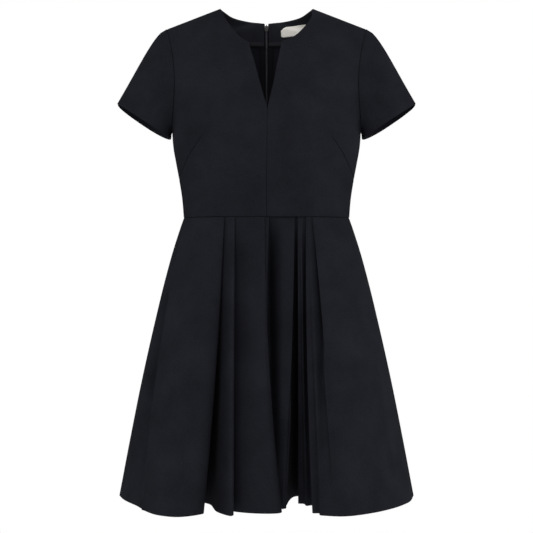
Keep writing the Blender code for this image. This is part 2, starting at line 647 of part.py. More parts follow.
class Inside:
    """The half back that is on the right from behind, to lay things on its inside."""

    def __init__(self, *grids):
        points, faces = [], []
        for grid in grids:
            rows, columns = grid.shape[:2]
            faces += [[len(points) + corner for corner in face] for face in grid_faces(rows, columns)]
            points += [Vector(point) for point in grid.reshape(-1, 3)]
        self.tree = BVHTree.FromPolygons(points, faces)

    def lay(self, point, depth):
        """The nearest point of the cloth, moved in by depth."""
        place, outwards, _, _ = self.tree.find_nearest(Vector(point))
        return np.array(place - outwards * depth)


def facing_grid(back, columns, rows):
    """The facing from its free edge up to the neckline, from the zip to the shoulder seam."""
    nape = BACK.names.index("nape")
    neck_places = np.linspace(nape, BACK.top, FINE_POINTS)
    neck_line = np.array([BACK.section(place)[0] for place in neck_places])
    corners = np.array(FACING_EDGE)
    free_places = np.linspace(0, len(corners) - 1, FINE_POINTS)
    free_line = np.array([spline(corners, place) for place in free_places])
    neck = [spline(neck_line, place) for place in even_shares(neck_line, columns)]
    free = [spline(free_line, place) for place in even_shares(free_line, columns)]
    near, far = TAPE_REACH
    grid = []
    for share in np.linspace(0, 1, rows):
        line = mix(np.array(free), np.array(neck), share)
        line[:, 0] = np.maximum(line[:, 0], FACING_CENTRE)
        clear = np.clip((line[:, 0] - near) / (far - near), 0, 1)
        depths = mix(FACING_TUCK, FACING_LIE, clear)
        grid.append([back.lay(point, depth) for point, depth in zip(line, depths)])
    return sewn(np.array(grid), LAST_COLUMN, (0, 1, 0))


def label_grid(facing, columns, rows):
    """The label on the wearer's left half of the facing, with its corners clipped."""
    surface = Inside(facing)
    grid = []
    for share in np.linspace(0, 1, rows):
        line = []
        for x in np.linspace(*LABEL_X, columns):
            clip = max(LABEL_CLIP - (x - LABEL_X[0]), LABEL_CLIP - (LABEL_X[1] - x), 0.0)
            slant = LABEL_SLANT[1] * (1 - (x - LABEL_X[0]) / LABEL_SLANT[0])
            z = mix(LABEL_Z[0] + clip, LABEL_Z[1] - max(clip, slant), share)
            y = mix(LABEL_Y[0], LABEL_Y[1], (x - LABEL_X[0]) / (LABEL_X[1] - LABEL_X[0]))
            line.append(surface.lay((x, y, z), LABEL_DEPTH))
        grid.append(line)
    return np.array(grid)


def seam_line(z):
    """Depth of the centre back seam at a height, seen from behind."""
    seam = BACK.keys[:BACK.names.index("nape") + 1]
    if z > WAIST_Z:
        return float(np.interp(z, seam[:, 2], seam[:, 1]))
    return mix(-WAIST_BACK, Fold(*BACK_FOLDS["centre"]).hem_y, flare(z))


def strip_grid(back, columns, top, depth):
    """A flat strip down the inside of the centre back seam, pushed in by the waist seam."""
    grid = []
    levels = [z for z in TAPE_LEVELS if z < top] + [top]
    for z in levels:
        push = WAIST_PUSH * math.exp(-((z - WAIST_Z) / WAIST_PUSH_REACH) ** 2)
        line = [back.lay((x, seam_line(z), z), depth + push) for x in TAPE_X]
        y = max(point[1] for point in line)
        grid.append([(x, y, z) for x in columns])
    return np.array(grid)


def build_inside_back(back_bodice, back_skirt):
    bodice_inside = Inside(back_bodice)
    facing = facing_grid(bodice_inside, FACING_COLUMNS, FACING_ROWS)
    cloth("facing_right", from_behind(facing), "facing")
    cloth("facing_left", from_behind(mirrored(facing)), "facing")
    label = label_grid(facing, LABEL_COLUMNS, LABEL_ROWS)
    cloth("label", from_behind(mirrored(label)), "label", LABEL_WALL)
    seam_inside = Inside(back_bodice, mirrored(back_skirt))
    tape = strip_grid(seam_inside, TAPE_X, TAPE_TOP, TAPE_DEPTH)
    cloth("zip_tape_right", from_behind(tape), "tape", TAPE_WALL)
    cloth("zip_tape_left", from_behind(mirrored(tape)), "tape", TAPE_WALL)
    coil = strip_grid(seam_inside, COIL_X, COIL_TOP, TAPE_DEPTH + TAPE_WALL + SEAM)
    cloth("zip_coil", from_behind(coil), "coil", COIL_WALL)


# ---------------------------------------------------------------- slider and pull

def apply_bevel(made, width):
    bevel = made.modifiers.new("Rounded", "BEVEL")
    bevel.width = width * MM
    bevel.segments = 2
    bevel.limit_method = "ANGLE"


def primitive_mesh(build, matrix):
    """Points and faces of a bmesh primitive, placed by a matrix."""
    work = bmesh.new()
    build(work)
    work.transform(matrix)
    mesh = bpy.data.meshes.new("primitive")
    work.to_mesh(mesh)
    work.free()
    return mesh


def box_object(name, low, high, collection):
    """A box between two corners given in millimetres."""
    low, high = Vector(low) * MM, Vector(high) * MM
    size = high - low
    matrix = Matrix.Translation((low + high) / 2) @ Matrix.Diagonal((*size, 1.0))
    mesh = primitive_mesh(lambda work: bmesh.ops.create_cube(work, size=1.0), matrix)
    made = bpy.data.objects.new(name, mesh)
    collection.objects.link(made)
    return made


def taper(made, end_z, share):
    """Narrow a box at the end that lies at a height."""
    for vertex in made.data.vertices:
        if math.isclose(vertex.co.z, end_z * MM, abs_tol=1e-6):
            vertex.co.x *= share


def rod_object(name, centre, radius, half_length, collection):
    """A cylinder along X."""
    matrix = Matrix.Translation(Vector(centre) * MM) @ Matrix.Rotation(math.pi / 2, 4, "Y")

    def build(work):
        bmesh.ops.create_cone(work, cap_ends=True, segments=ROD_SIDES, radius1=radius * MM,
                              radius2=radius * MM, depth=2 * half_length * MM)

    made = bpy.data.objects.new(name, primitive_mesh(build, matrix))
    collection.objects.link(made)
    return made


def combine(target, other, operation):
    """A Boolean of two solids, with the second kept as a hidden cutter."""
    other.hide_render = True
    other.display_type = "WIRE"
    change = target.modifiers.new(other.name, "BOOLEAN")
    change.operation = operation
    change.object = other
    change.solver = "EXACT"


def zip_hinge():
    """An empty on the pull's pin, leaning as the back leans there: its -Y points inwards."""
    lean = math.atan2(seam_line(PIN_Z) - seam_line(PIN_Z - PULL_LENGTH), PULL_LENGTH)
    hinge = bpy.data.objects.new("zip_pull_hinge", None)
    PARTS.objects.link(hinge)
    hinge.location = Vector((0, PIN_OUT - seam_line(PIN_Z), PIN_Z)) * MM
    hinge.rotation_euler = (lean, 0, 0)
    return hinge


def build_slider(hinge):
    """The slider: a tapered plate with a divider inside the back, and a neck to the pull's pin."""
    outer = -PIN_OUT - SLIDER_DEPTH
    inner = outer - SLIDER_WALL
    half_width = SLIDER_WIDTH / 2
    foot = SLIDER_RISE - SLIDER_HEIGHT
    slider = box_object("zip_slider", (-half_width, inner, foot), (half_width, outer, SLIDER_RISE),
                        PARTS)
    taper(slider, foot, SLIDER_FOOT / SLIDER_WIDTH)
    apply_bevel(slider, SLIDER_ROUND)
    tip = SLIDER_RISE + DIVIDER_RISE
    divider = box_object("slider_divider",
                         (-DIVIDER_WIDTH / 2, inner + DIVIDER_INSET, SLIDER_RISE - DIVIDER_ROOT),
                         (DIVIDER_WIDTH / 2, outer - DIVIDER_INSET, tip), CUTTERS)
    taper(divider, tip, DIVIDER_TIP / DIVIDER_WIDTH)
    neck = box_object("slider_neck", (-NECK_HALF_WIDTH, inner + SLIDER_WALL / 2, -NECK_DROP),
                      (NECK_HALF_WIDTH, 0, NECK_RISE), CUTTERS)
    pin = rod_object("slider_pin", (0, 0, 0), PIN_RADIUS, PIN_HALF_LENGTH, CUTTERS)
    for piece in (divider, neck, pin):
        combine(slider, piece, "UNION")
        piece.parent = hinge
    slider.parent = hinge
    slider.data.materials.append(material("metal"))


def build_pull(hinge):
    """The pull tab, whose two eyes turn on the slider's pin. It rests along the sloping back."""
    half_width, half_thick = PULL_WIDTH / 2, PULL_THICK / 2
    top = -EYE_RADIUS - ARM_LENGTH
    pull = box_object("zip_pull", (-half_width, -half_thick, -PULL_LENGTH),
                      (half_width, half_thick, top), PARTS)
    apply_bevel(pull, PULL_ROUND)
    near, far = EYE_X
    for low, high, name in ((near, far, "left"), (-far, -near, "right")):
        arm = box_object(f"pull_arm_{name}", (low, -half_thick, top - ARM_ROOT),
                         (high, half_thick, 0), CUTTERS)
        middle = (low + high) / 2
        eye = rod_object(f"pull_eye_{name}", (middle, 0, 0), EYE_RADIUS, (far - near) / 2, CUTTERS)
        for piece in (arm, eye):
            combine(pull, piece, "UNION")
            piece.parent = hinge
    bore = rod_object("pull_bore", (0, 0, 0), EYE_BORE, far + BORE_OVERRUN, CUTTERS)
    combine(pull, bore, "DIFFERENCE")
    bore.parent = pull.parent = hinge
    pull.data.materials.append(material("metal"))


# ---------------------------------------------------------------- build

clear_scene()
PARTS = new_collection("a_line_dress")
CUTTERS = new_collection("cutters")
FRONT = Bodice(FRONT_SECTIONS, FRONT_CORNERS)
BACK = Bodice(BACK_SECTIONS, BACK_CORNERS)
BACK_BODICE = build_bodice()
build_sleeves()
BACK_SKIRT = build_skirt()
build_inside_back(BACK_BODICE, BACK_SKIRT)
ZIP_HINGE = zip_hinge()
build_slider(ZIP_HINGE)
build_pull(ZIP_HINGE)
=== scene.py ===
"""The look of an A-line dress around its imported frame: cloth, seams, hems, zip and light.

Lengths are millimetres until a mesh is made. +X is the wearer's left, -Y is the front and +Z is
up. Each cloth piece is a grid of points from the same tables as its solid, only finer. Creases
move the points along their normals, edges are turned in, and a Solidify modifier makes the wall.
"""
import math
from collections import namedtuple

import bpy
import numpy as np
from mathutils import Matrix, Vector
from mathutils.bvhtree import BVHTree


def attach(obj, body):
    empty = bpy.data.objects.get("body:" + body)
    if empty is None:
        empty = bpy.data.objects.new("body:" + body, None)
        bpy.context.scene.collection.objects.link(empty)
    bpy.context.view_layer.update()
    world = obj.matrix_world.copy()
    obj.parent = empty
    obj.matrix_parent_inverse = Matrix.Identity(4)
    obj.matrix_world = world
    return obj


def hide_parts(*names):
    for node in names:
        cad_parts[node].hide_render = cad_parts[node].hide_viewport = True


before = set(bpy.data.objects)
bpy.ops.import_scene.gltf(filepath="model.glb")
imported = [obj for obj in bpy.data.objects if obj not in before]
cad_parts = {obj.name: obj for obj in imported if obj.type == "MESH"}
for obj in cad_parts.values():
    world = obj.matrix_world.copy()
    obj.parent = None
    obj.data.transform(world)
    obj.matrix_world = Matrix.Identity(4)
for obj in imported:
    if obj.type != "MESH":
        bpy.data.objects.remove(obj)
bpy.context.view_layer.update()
MM = 0.001

# ---------------------------------------------------------------- sizes of the dress

WALL = 0.6  # thickness of the crepe as it shows at an edge
SEAM_GAP = 0.08  # from each rolled edge to its seam line
PRESSED = -0.06  # and where two rolled edges press into each other
WAIST_Z = -369.5
HEM_Z = -881.7
WAIST_SIDE = 152.8  # half the waist's width
WAIST_FRONT = 94.5  # depth of the waist in front of the shoulder line, and behind it
WAIST_BACK = 90.0
WAIST_SQUARE = 2.25  # exponent of the waist's plan, 2 being an ellipse
HEM_SIDE = 272.0
PLEAT_LAYER = 1.2  # distance between two layers of a pleat where the waist seam holds them
WAIST_CHORD = 0.5  # half the chord along which the waist seam's direction is taken
STRAIGHT_FALL = 130.0  # folds fall straight at the centre, and curve with the side seam from here
OPENING_REACH = 0.16  # share of the spread over which a fold opens out
FINE_POINTS = 81  # of a curve that is then divided into equal lengths

# Half a bodice front, from the centre to the side seam or the armhole, upwards.
# The handles are the lengths of the curve's two ends; turn is the outer end's angle to the side.
Section = namedtuple("Section", "in_x in_y in_z out_x out_y out_z in_handle out_handle turn")
FRONT_SECTIONS = {
    "waist": (0.0, -94.5, -369.5, 152.8, 0.0, -369.5, 93, 57, 0),
    "ribs": (0.0, -99.0, -333.0, 155.9, 0.0, -333.0, 95, 62, 0),
    "under_bust": (0.0, -108.0, -297.0, 161.3, 0.0, -298.0, 100, 72, 0),
    "bust_low": (0.0, -116.5, -264.0, 167.2, 0.0, -266.0, 108, 82, 0),
    "bust": (0.0, -120.5, -236.0, 171.9, 0.0, -239.0, 112, 86, 0),
    "underarm": (0.0, -119.5, -207.0, 174.0, 0.0, -211.0, 112, 80, 0),
    "armpit": (0.0, -117.0, -188.0, 173.4, -22.0, -205.5, 110, 62, 12),
    "v_bottom": (0.0, -113.5, -177.0, 171.4, -38.0, -190.0, 106, 52, 25),
    "armhole": (11.9, -102.5, -130.0, 168.4, -50.0, -158.0, 92, 50, 42),
    "chest": (20.5, -91.5, -92.5, 167.0, -48.5, -122.0, 76, 50, 52),
    "notch": (30.3, -79.0, -53.8, 169.8, -38.0, -86.0, 52, 50, 60),
    "neck_low": (51.4, -66.0, -38.8, 173.8, -26.0, -60.0, 44, 46, 68),
    "neck_side": (71.2, -40.0, -11.2, 179.4, -13.0, -38.0, 40, 42, 76),
    "ridge": (82.6, -14.0, 12.0, 182.8, -5.0, -23.5, 36, 38, 84),
    "shoulder": (85.5, 0.0, 19.0, 183.5, 0.0, -18.9, 33, 33, 90),
}
FRONT_CORNERS = ("v_bottom", "notch")

# Half a bodice back, seen from behind, so that -Y is outwards as on the front.
BACK_SECTIONS = {
    "waist": (0.0, -90.0, -369.5, 152.8, 0.0, -369.5, 93, 55, 0),
    "ribs": (0.0, -91.5, -333.0, 155.9, 0.0, -333.0, 95, 58, 0),
    "under_blade": (0.0, -94.5, -297.0, 161.3, 0.0, -298.0, 98, 62, 0),
    "blade_low": (0.0, -98.0, -264.0, 167.2, 0.0, -266.0, 102, 66, 0),
    "blade": (0.0, -100.5, -236.0, 171.9, 0.0, -239.0, 104, 68, 0),
    "underarm": (0.0, -101.5, -207.0, 174.0, 0.0, -211.0, 104, 68, 0),
    "armpit": (0.0, -101.0, -180.0, 173.4, -22.0, -205.5, 104, 52, 14),
    "back_low": (0.0, -99.5, -150.0, 171.6, -37.0, -189.0, 100, 48, 30),
    "armhole": (0.0, -95.5, -115.0, 168.8, -48.0, -156.0, 92, 48, 46),
    "back_mid": (0.0, -88.5, -78.0, 167.6, -46.5, -120.0, 84, 48, 56),
    "back_high": (0.0, -79.0, -45.0, 170.2, -36.5, -86.0, 76, 48, 64),
    "yoke": (0.0, -70.5, -19.0, 173.0, -28.0, -66.0, 70, 46, 70),
    "nape": (3.6, -62.5, 2.0, 176.0, -20.0, -50.0, 60, 44, 75),
    "neck_back": (34.0, -58.0, 4.8, 179.0, -13.5, -39.0, 48, 42, 80),
    "neck_side": (62.0, -40.0, 9.0, 181.6, -7.5, -29.0, 38, 38, 84),
    "ridge": (79.0, -15.0, 16.0, 183.0, -3.0, -21.2, 34, 34, 88),
    "shoulder": (85.5, 0.0, 19.0, 183.5, 0.0, -18.9, 33, 33, 90),
}
BACK_CORNERS = ("nape",)

CUFF_TIP = (275.8, -157.4)  # X and Z of the cuff's outer end
CUFF_HEEL = (177.2, -222.0)  # X and Z of its inner end, beside the underarm
CUFF_HALF_DEPTH = 57.0
CUFF_FRONT_DROP = 1.5
CUFF_BACK_DROP = 6.8
CUFF_DROOP = (0.4, 1.2)
CUFF_ROUND = 0.92
SLEEVE_HANG = (0.50, 0.0, -0.866)
CAP_TOP = (0.991, 0.0, -0.131)
CAP_UNDER = (0.97, 0.0, -0.24)
CAP_SPREAD = 0.36
LEAVE_REACH = (0.30, 0.13)
ARRIVE_REACH = (0.30, 0.50)

SKIRT_SIDE = ((-369.5, 152.8), (-390.0, 160.0), (-427.0, 171.9), (-483.0, 187.4),
              (-557.0, 205.4), (-668.0, 230.3), (-779.0, 252.5), (-881.7, 272.0))

# Folds of the skirt in plan, from the side seam on the left of the view to the other end.
# A key is a point that the cloth passes. An edge or a valley is a fold's end, round which the
# cloth turns: an edge shows, and a valley lies hidden under the layer in front of it.
#   lap:              1 where the cloth comes to a fold's end towards +X, -1 where towards -X
#   waist_x, layer:   place at the waist, and the layer there, counted inwards from the outer one
#   hem_x, hem_y:     place at the hem
#   hem_turn, radius: the way the fold's end points there, in degrees, and its radius
#   bow:              how far it stands to +X of the straight line between, half-way down
#   steps:            how many facets the solid has from it to the next row
#   opens:            the share of the skirt's spread at which the fold starts to open out flat;
#                     hem_turn is then the way the cloth runs, and radius its points' distance
#   sink, at:         how far it lies back from the straight line, and the share of the height
#                     at which that is most
NEVER = 2.0
Fold = namedtuple("Fold", "kind lap waist_x layer hem_x hem_y hem_turn radius bow steps"
                          " opens sink at", defaults=(NEVER, 0.0, 0.5))


def key(waist_x, layer, hem_x, hem_y, steps=2, bow=0, sink=0.0, at=0.5):
    return Fold("key", 0, waist_x, layer, hem_x, hem_y, 0, 0, bow, steps, NEVER, sink, at)


# The valley in which the centre front seam is hidden
STRIP_VALLEY = Fold("valley", -1, -8, 3.6, -4, -138, 180, 5, -7, 1, NEVER, 5, 0.20)
FRONT_LEFT_FOLDS = (
    key(-152.8, 0, -272, 0, 1),
    key(-151.7, 0, -258, -50),
    key(-149.7, 0, -226.5, -120, 1, 15, 30, 0.60),      # hollow beside the ridge
    key(-148.8, 0, -219.8, -143, 1),
    key(-148, 0, -217.5, -150, 1, -4),
    key(-146.8, 0, -213.8, -157.5, 2, -4),
    key(-125, 0, -186, -204.5),
    key(-98, 0, -149, -223),
    Fold("edge", 1, -75.7, 0.5, -112.4, -176, 60, 11, 7.5, 1),
    Fold("valley", -1, -99, 1.5, -129, -66, 100, 9, 0, 1),
    key(-76, 2, -102, -95, 2, 3, -20, 0.40),
    key(-66, 1, -84.5, -176),
    Fold("edge", 1, -57, 0.5, -56.5, -203, 25, 8, 0, 1),
    Fold("valley", -1, -70, 3.0, -80, -152, 190, 5, 0, 1),
    key(-56, 2.2, -55, -171, sink=8, at=0.35),
    key(-30, 1.1, -23, -187.5),
    key(-14, 0.4, 8, -191),
    Fold("edge", 1, -3.6, 0.5, 26, -174, 30, 8, -7, 1),
    Fold("valley", -1, -16, 1.9, 0, -162, 180, 4, -7, 1),
    Fold("edge", 1, 4.5, 2.4, 14, -150, 10, 4, -7, 1, NEVER, 5, 0.20),
    STRIP_VALLEY,
)
FRONT_RIGHT_FOLDS = (
    STRIP_VALLEY,
    key(5, 4.0, 14, -139, 1, -4, 48, 0.33),             # hollow right of the centre
    key(27, 4.0, 24, -142, sink=4, at=0.33),
    Fold("edge", 1, 50.9, 4.1, 31, -142, 45, 4, 4, 1, 0.60),
    Fold("valley", -1, 39, 5.1, 35, -110, 82, 8, 4, 2, 0.60),
    key(56, 5.6, 42, -52, bow=2),
    Fold("valley", 1, 74, 5.0, 61, -6, 80, 8, 0, 2),
    Fold("edge", -1, 56.4, 3.2, 57, -88, 205, 7, 0, 1, NEVER, -11, 0.33),
    key(62.5, 2.8, 71, -112, 1, -2, -12, 0.33),
    key(69.5, 3.3, 80.5, -107, 2, -3, -4, 0.33),
    Fold("valley", 1, 86, 3.2, 101, -118, 20, 6, -2, 1),
    Fold("edge", -1, 71.2, 2.0, 79.6, -186, 215, 9, -4, 1),
    key(77.4, 1.5, 91, -206, 1),
    Fold("valley", 1, 96, 1.5, 106, -213, -20, 5, 0, 1, 0.47, 12, 0.33),
    Fold("edge", -1, 82.2, 0.5, 121, -217, -8, 5, 0, 1, 0.47),
    key(104, 0, 147, -211.5),
    key(125, 0, 189, -178),
    key(141, 0, 231, -124),
    key(149.5, 0, 257.5, -70, 1),
    key(152.8, 0, 272, 0, 1),
)
# Half a skirt back, seen from behind, from the side seam to the centre back
BACK_FOLDS = (
    key(-152.8, 0, -272, 0, 1),
    key(-149.5, 0, -262, -50),
    key(-138, 0, -232, -116),
    key(-114, 0, -190, -170),
    key(-90, 0, -150, -192),
    Fold("edge", 1, -70, 0.5, -116, -180, 50, 10, 3, 1),
    Fold("valley", -1, -88, 1.5, -131, -122, 110, 9, 0, 1),
    key(-70, 2, -108, -138),
    key(-54, 1, -82, -186),
    Fold("edge", 1, -40, 0.5, -54, -199, 35, 9, 2, 1),
    Fold("valley", -1, -57, 2.6, -70, -148, 130, 8, 0, 1),
    key(-40, 2, -50, -166),
    key(-24, 1, -27, -190),
    key(0, 0, 0, -197, 1),
)

# Back neck facing: its outer edge as seen from behind, from the centre to the shoulder
FACING_EDGE = ((0.0, -74.0, -39.0), (45.0, -66.0, -38.0), (86.0, -44.0, -27.0),
               (111.0, -19.0, -6.0), (121.5, -0.6, 4.3))
FACING_CENTRE = 4.6  # its end beside the zip
FACING_TUCK = 3.7  # depth of its outer face inside the back's where it covers the tape
FACING_LIE = 2.9  # and elsewhere
TAPE_REACH = (14.0, 26.0)  # between these distances from the centre it goes from one to the other
LABEL_X = (28.4, 84.0)
LABEL_Y = (-64.0, -38.0)
LABEL_Z = (-24.3, -2.5)
LABEL_CLIP = 2.5
# How far its top edge hangs down, by the distance from its end beside the zip
LABEL_FALL = ((0.0, 7.3), (6.0, 4.2), (22.0, 1.9), (50.0, 0.0))
LABEL_DEPTH = 1.7  # of its outer face inside the facing's

# Darts: the front's from the side seam to its point, and a waist dart in each half of the back
DART = ((161.0, -297.0), (138.0, -256.0), (106.0, -212.0))
DART_FADE = 22.0  # the groove dies out within this distance of the point
BACK_DART_SHARE = 0.44  # of the way across, where the back's dart stands
BACK_DART_TOP = 4.3  # sections up to its point
BACK_DART_FADE = 1.2  # sections within which it dies out
DART_DEPTH = 1.9
DART_HALF_WIDTH = 0.8
DART_ROWS = (-2.4, -1.2, -0.5, 0.0, 0.5, 1.2, 2.4)  # distances of its rows from its line
SECTION_STEP = 33.0  # mean height between two sections

# Turned edges
ROLL = 0.7  # radius of a hem
SEAM_ROLL = 1.3  # and of a sewn edge of the bodice, or of a sleeve at the armhole
WAIST_ROLL = 2.2  # and of the waist seam, which is thicker inside
SKIRT_ROLL = 0.5
SKIRT_HEM = 30.0  # depths of the hems
CUFF_HEM = 22.0
ARMHOLE_LAP = 5.0  # the sleeve's seam allowance under the bodice's edge
UNDER_LAP = 0.35  # how far it lies below it
LAP_RISE = 0.4  # and from where it rises to its seam
EDGE_HEM = 9.0  # depth of the turned edge at the neck and the zip
CLEAR_OF_TURN = 0.2  # from the end of a turning to the first column kept beyond it

DETAIL = 6  # facets for each one of the solid, in the skirt's plan
SKIRT_ROWS = 108
BODICE_COLUMNS = 56
ROWS_BELOW_DART = 40
ROWS_TO_UNDERARM = 12  # from the front's dart, and on from there to the next section
ROWS_TO_ARMPIT = 5
ROW_STEP = 0.125  # of a section, above that
COLUMNS_TO_DART = 24  # of the back, from its centre, and from the dart to its side
COLUMNS_TO_SIDE = 30
SLEEVE_HALF_COLUMNS = 44
SLEEVE_ROWS = 46


# ---------------------------------------------------------------- curves

def mix(start, end, share):
    return start + (end - start) * share


def smooth(share):
    share = np.clip(share, 0.0, 1.0)
    return share * share * (3 - 2 * share)


def hermite(start, end, leave, arrive, share):
    """A cubic between two points, with a slope at each."""
    square, cube = share ** 2, share ** 3
    return ((2 * cube - 3 * square + 1) * start + (cube - 2 * square + share) * leave
            + (3 * square - 2 * cube) * end + (cube - square) * arrive)


def spline(keys, place, corners=()):
    """A smooth curve through the keys, at a place counted in keys, with a corner where asked."""
    last = len(keys) - 1
    first = min(int(place), last - 1)

    def slope(number):
        if number in (0, last) or number in corners:
            step = 1 if number == first else -1
            return (keys[number + step] - keys[number]) * step
        return (keys[number + 1] - keys[number - 1]) / 2

    return hermite(keys[first], keys[first + 1], slope(first), slope(first + 1), place - first)


def bezier(start, leave, arrive, end, share):
    rest = 1 - share
    return (rest ** 3 * start + 3 * rest ** 2 * share * leave
            + 3 * rest * share ** 2 * arrive + share ** 3 * end)


def travelled(points):
    """How far each point of a line lies from its start, for one line or a stack of them."""
    spans = np.linalg.norm(np.diff(points, axis=-2), axis=-1)
    return np.concatenate((np.zeros((*spans.shape[:-1], 1)), np.cumsum(spans, axis=-1)), axis=-1)


def along_line(line, lengths, distance):
    """The point of a line at a distance from its start."""
    return np.array([np.interp(distance, lengths, line[:, axis]) for axis in range(3)])


def even_shares(points, count):
    """Places, counted in points, that divide a curve into equal lengths."""
    lengths = travelled(points)
    return np.interp(np.linspace(0.0, lengths[-1], count), lengths, np.arange(len(points)))


def unit(vectors):
    """The same vectors, one to a row, of length 1."""
    return vectors / np.linalg.norm(vectors, axis=1)[:, None]


# ---------------------------------------------------------------- grids

def grid_faces(rows, columns):
    """Quads of a grid whose columns run to the right and whose rows run upwards."""
    faces = []
    for low in range(0, (rows - 1) * columns, columns):
        for column in range(low, low + columns - 1):
            faces.append((column, column + 1, column + columns + 1, column + columns))
    return faces


def outward(grid):
    """The unit normals of a sheet."""
    along = np.gradient(grid, axis=1)
    up = np.gradient(grid, axis=0)
    normals = np.cross(along, up)
    return normals / np.maximum(np.linalg.norm(normals, axis=2), 1e-9)[:, :, None]


def mirrored(grid):
    """The same sheet on the other side of the dress, its faces still pointing out."""
    return np.asarray(grid)[:, ::-1] * (-1.0, 1.0, 1.0)


def from_behind(grid):
    """A sheet that was worked out as seen from behind, put where it belongs."""
    return np.asarray(grid) * (-1.0, -1.0, 1.0)


def edge_first(grid, edge, back=False):
    """A grid turned so that this edge is its first column, or turned back from that."""
    flip = edge in ("right", "top")
    if flip and back:
        grid = grid[:, ::-1]
    if edge in ("bottom", "top"):
        grid = grid.transpose(1, 0, 2)
    return grid[:, ::-1] if flip and not back else grid


def inset(lines, lengths, distance):
    """The points that lie this far in from the first column, or out from it if below 0."""
    if distance < 0:
        return lines[:, 0] - unit(lines[:, 0] - lines[:, 1]) * distance
    return np.array([along_line(line, far, distance) for far, line in zip(lengths, lines)])


def turned(grid, edge, profile):
    """Give an edge its turning: pairs of distance in and depth, from the cloth's raw edge on."""
    lines = edge_first(grid, edge)
    normals = edge_first(outward(grid), edge)
    lengths = travelled(lines)
    kept = int(np.argmax(lengths.min(axis=0) > profile[-1][0] + CLEAR_OF_TURN))
    added = [inset(lines, lengths, distance) - depth * inset(normals, lengths, max(distance, 0))
             for distance, depth in profile]
    sheet = np.concatenate((np.array(added).transpose(1, 0, 2), lines[:, kept:]), axis=1)
    return edge_first(sheet, edge, back=True)


def arc(radius, start, steps, gap):
    """Distances in and depths round a circle, from an angle to where the cloth lies flat."""
    turns = np.linspace(start, math.pi / 2, steps + 1)
    return [(gap + radius * (1 - math.cos(turn)), radius * (1 - math.sin(turn)))
            for turn in turns]


def rolled_edge(radius, steps=4, gap=SEAM_GAP):
    """A sewn edge: the cloth turns in through a quarter circle."""
    return arc(radius, 0.0, steps, gap)


def lapped_edge(radius, lap):
    """A sewn edge whose seam allowance lies under the edge of the next piece."""
    under = radius + UNDER_LAP
    return [(-lap, under), (-lap / 2, under), (-LAP_RISE, under)] + rolled_edge(radius, 6)


def hemmed_edge(radius, allowance, steps=8, spacing=5.0):
    """A folded edge: the cloth turns right round and lies against its own inside."""
    count = max(2, round(allowance / spacing) + 1)
    layer = [(distance, 2 * radius) for distance in np.linspace(allowance, 2 * radius, count)]
    return layer + arc(radius, -math.pi / 2, steps, SEAM_GAP)


# ---------------------------------------------------------------- creases

# Soft troughs and ridges, as lines in the front view or in the view from behind.
# bow is how far the line's middle stands to its left, and a height below 0 is a trough.
Crease = namedtuple("Crease", "x z end_x end_z bow half_width height")
CREASE_POINTS = 13  # of the line
CREASE_FADE = 0.8  # exponent of its fading towards both ends
FACING_FADE = 16.0  # depth beyond the side within which a sleeve's crease comes in


def crease_rise(grid, crease):
    """How far a crease lifts each point of a grid."""
    crease = Crease(*crease)
    start = np.array((crease.x, crease.z))
    end = np.array((crease.end_x, crease.end_z))
    along = end - start
    aside = np.array((-along[1], along[0])) / np.linalg.norm(along)
    middle = (start + end) / 2 + 2 * crease.bow * aside
    shares = np.linspace(0, 1, CREASE_POINTS)[:, None]
    line = (1 - shares) ** 2 * start + 2 * shares * (1 - shares) * middle + shares ** 2 * end
    points = grid[:, :, (0, 2)]
    nearest = np.full(grid.shape[:2], np.inf)
    share = np.zeros(grid.shape[:2])
    for number, (low, high) in enumerate(zip(line, line[1:])):
        span = high - low
        place = np.clip((points - low) @ span / (span @ span), 0, 1)
        distance = np.linalg.norm(points - low - place[:, :, None] * span, axis=2)
        closer = distance < nearest
        nearest = np.where(closer, distance, nearest)
        share = np.where(closer, (number + place) / (len(line) - 1), share)
    fade = np.sin(math.pi * share) ** CREASE_FADE
    return crease.height * fade * np.exp(-(nearest / crease.half_width) ** 2)


def lifted(grid, rise):
    """A sheet moved along its normals."""
    return grid + rise[:, :, None] * outward(grid)


def creased(grid, creases, facing=None):
    """A sheet with its creases. facing limits them to its front (-1) or its back (1)."""
    rise = sum(crease_rise(grid, crease) for crease in creases)
    if facing is not None:
        rise = rise * smooth(facing * grid[:, :, 1] / FACING_FADE)
    return lifted(grid, rise)


FRONT_CREASES = (
    (104, -205, 158, -150, 6, 13, -1.5),
    (96, -222, 60, -300, -5, 18, 1.1),
    (150, -345, 96, -322, 4, 9, -1.0),
    (152, -318, 110, -300, -3, 8, -0.8),
    (165, -196, 128, -228, -4, 8, -1.0),
    (30, -330, 100, -352, 3, 10, 0.7),
    (44, -92, 120, -128, 5, 18, -0.8),
)
FRONT_LEFT_EXTRA = (
    (70, -262, 120, -340, 6, 12, -0.9),
    (20, -215, 26, -300, 2, 13, -0.7),
)
FRONT_RIGHT_EXTRA = (
    (60, -140, 120, -96, -6, 16, 0.9),
    (28, -285, 74, -344, 4, 11, -0.8),
)
BACK_CREASES = (
    (10, -318, 140, -334, 6, 9, -1.8),
    (24, -344, 146, -352, -4, 8, -1.4),
    (12, -290, 92, -300, 4, 10, -1.2),
    (90, -150, 160, -110, 6, 14, -1.5),
    (150, -200, 96, -252, -6, 11, -1.3),
    (30, -60, 120, -72, 5, 14, 1.0),
)
BACK_LEFT_EXTRA = ((46, -304, 150, -312, -3, 8, -1.1), (60, -96, 130, -170, 6, 15, -0.9))
BACK_RIGHT_EXTRA = ((30, -326, 110, -322, 3, 7, 1.0), (18, -230, 40, -290, 3, 10, -0.9))
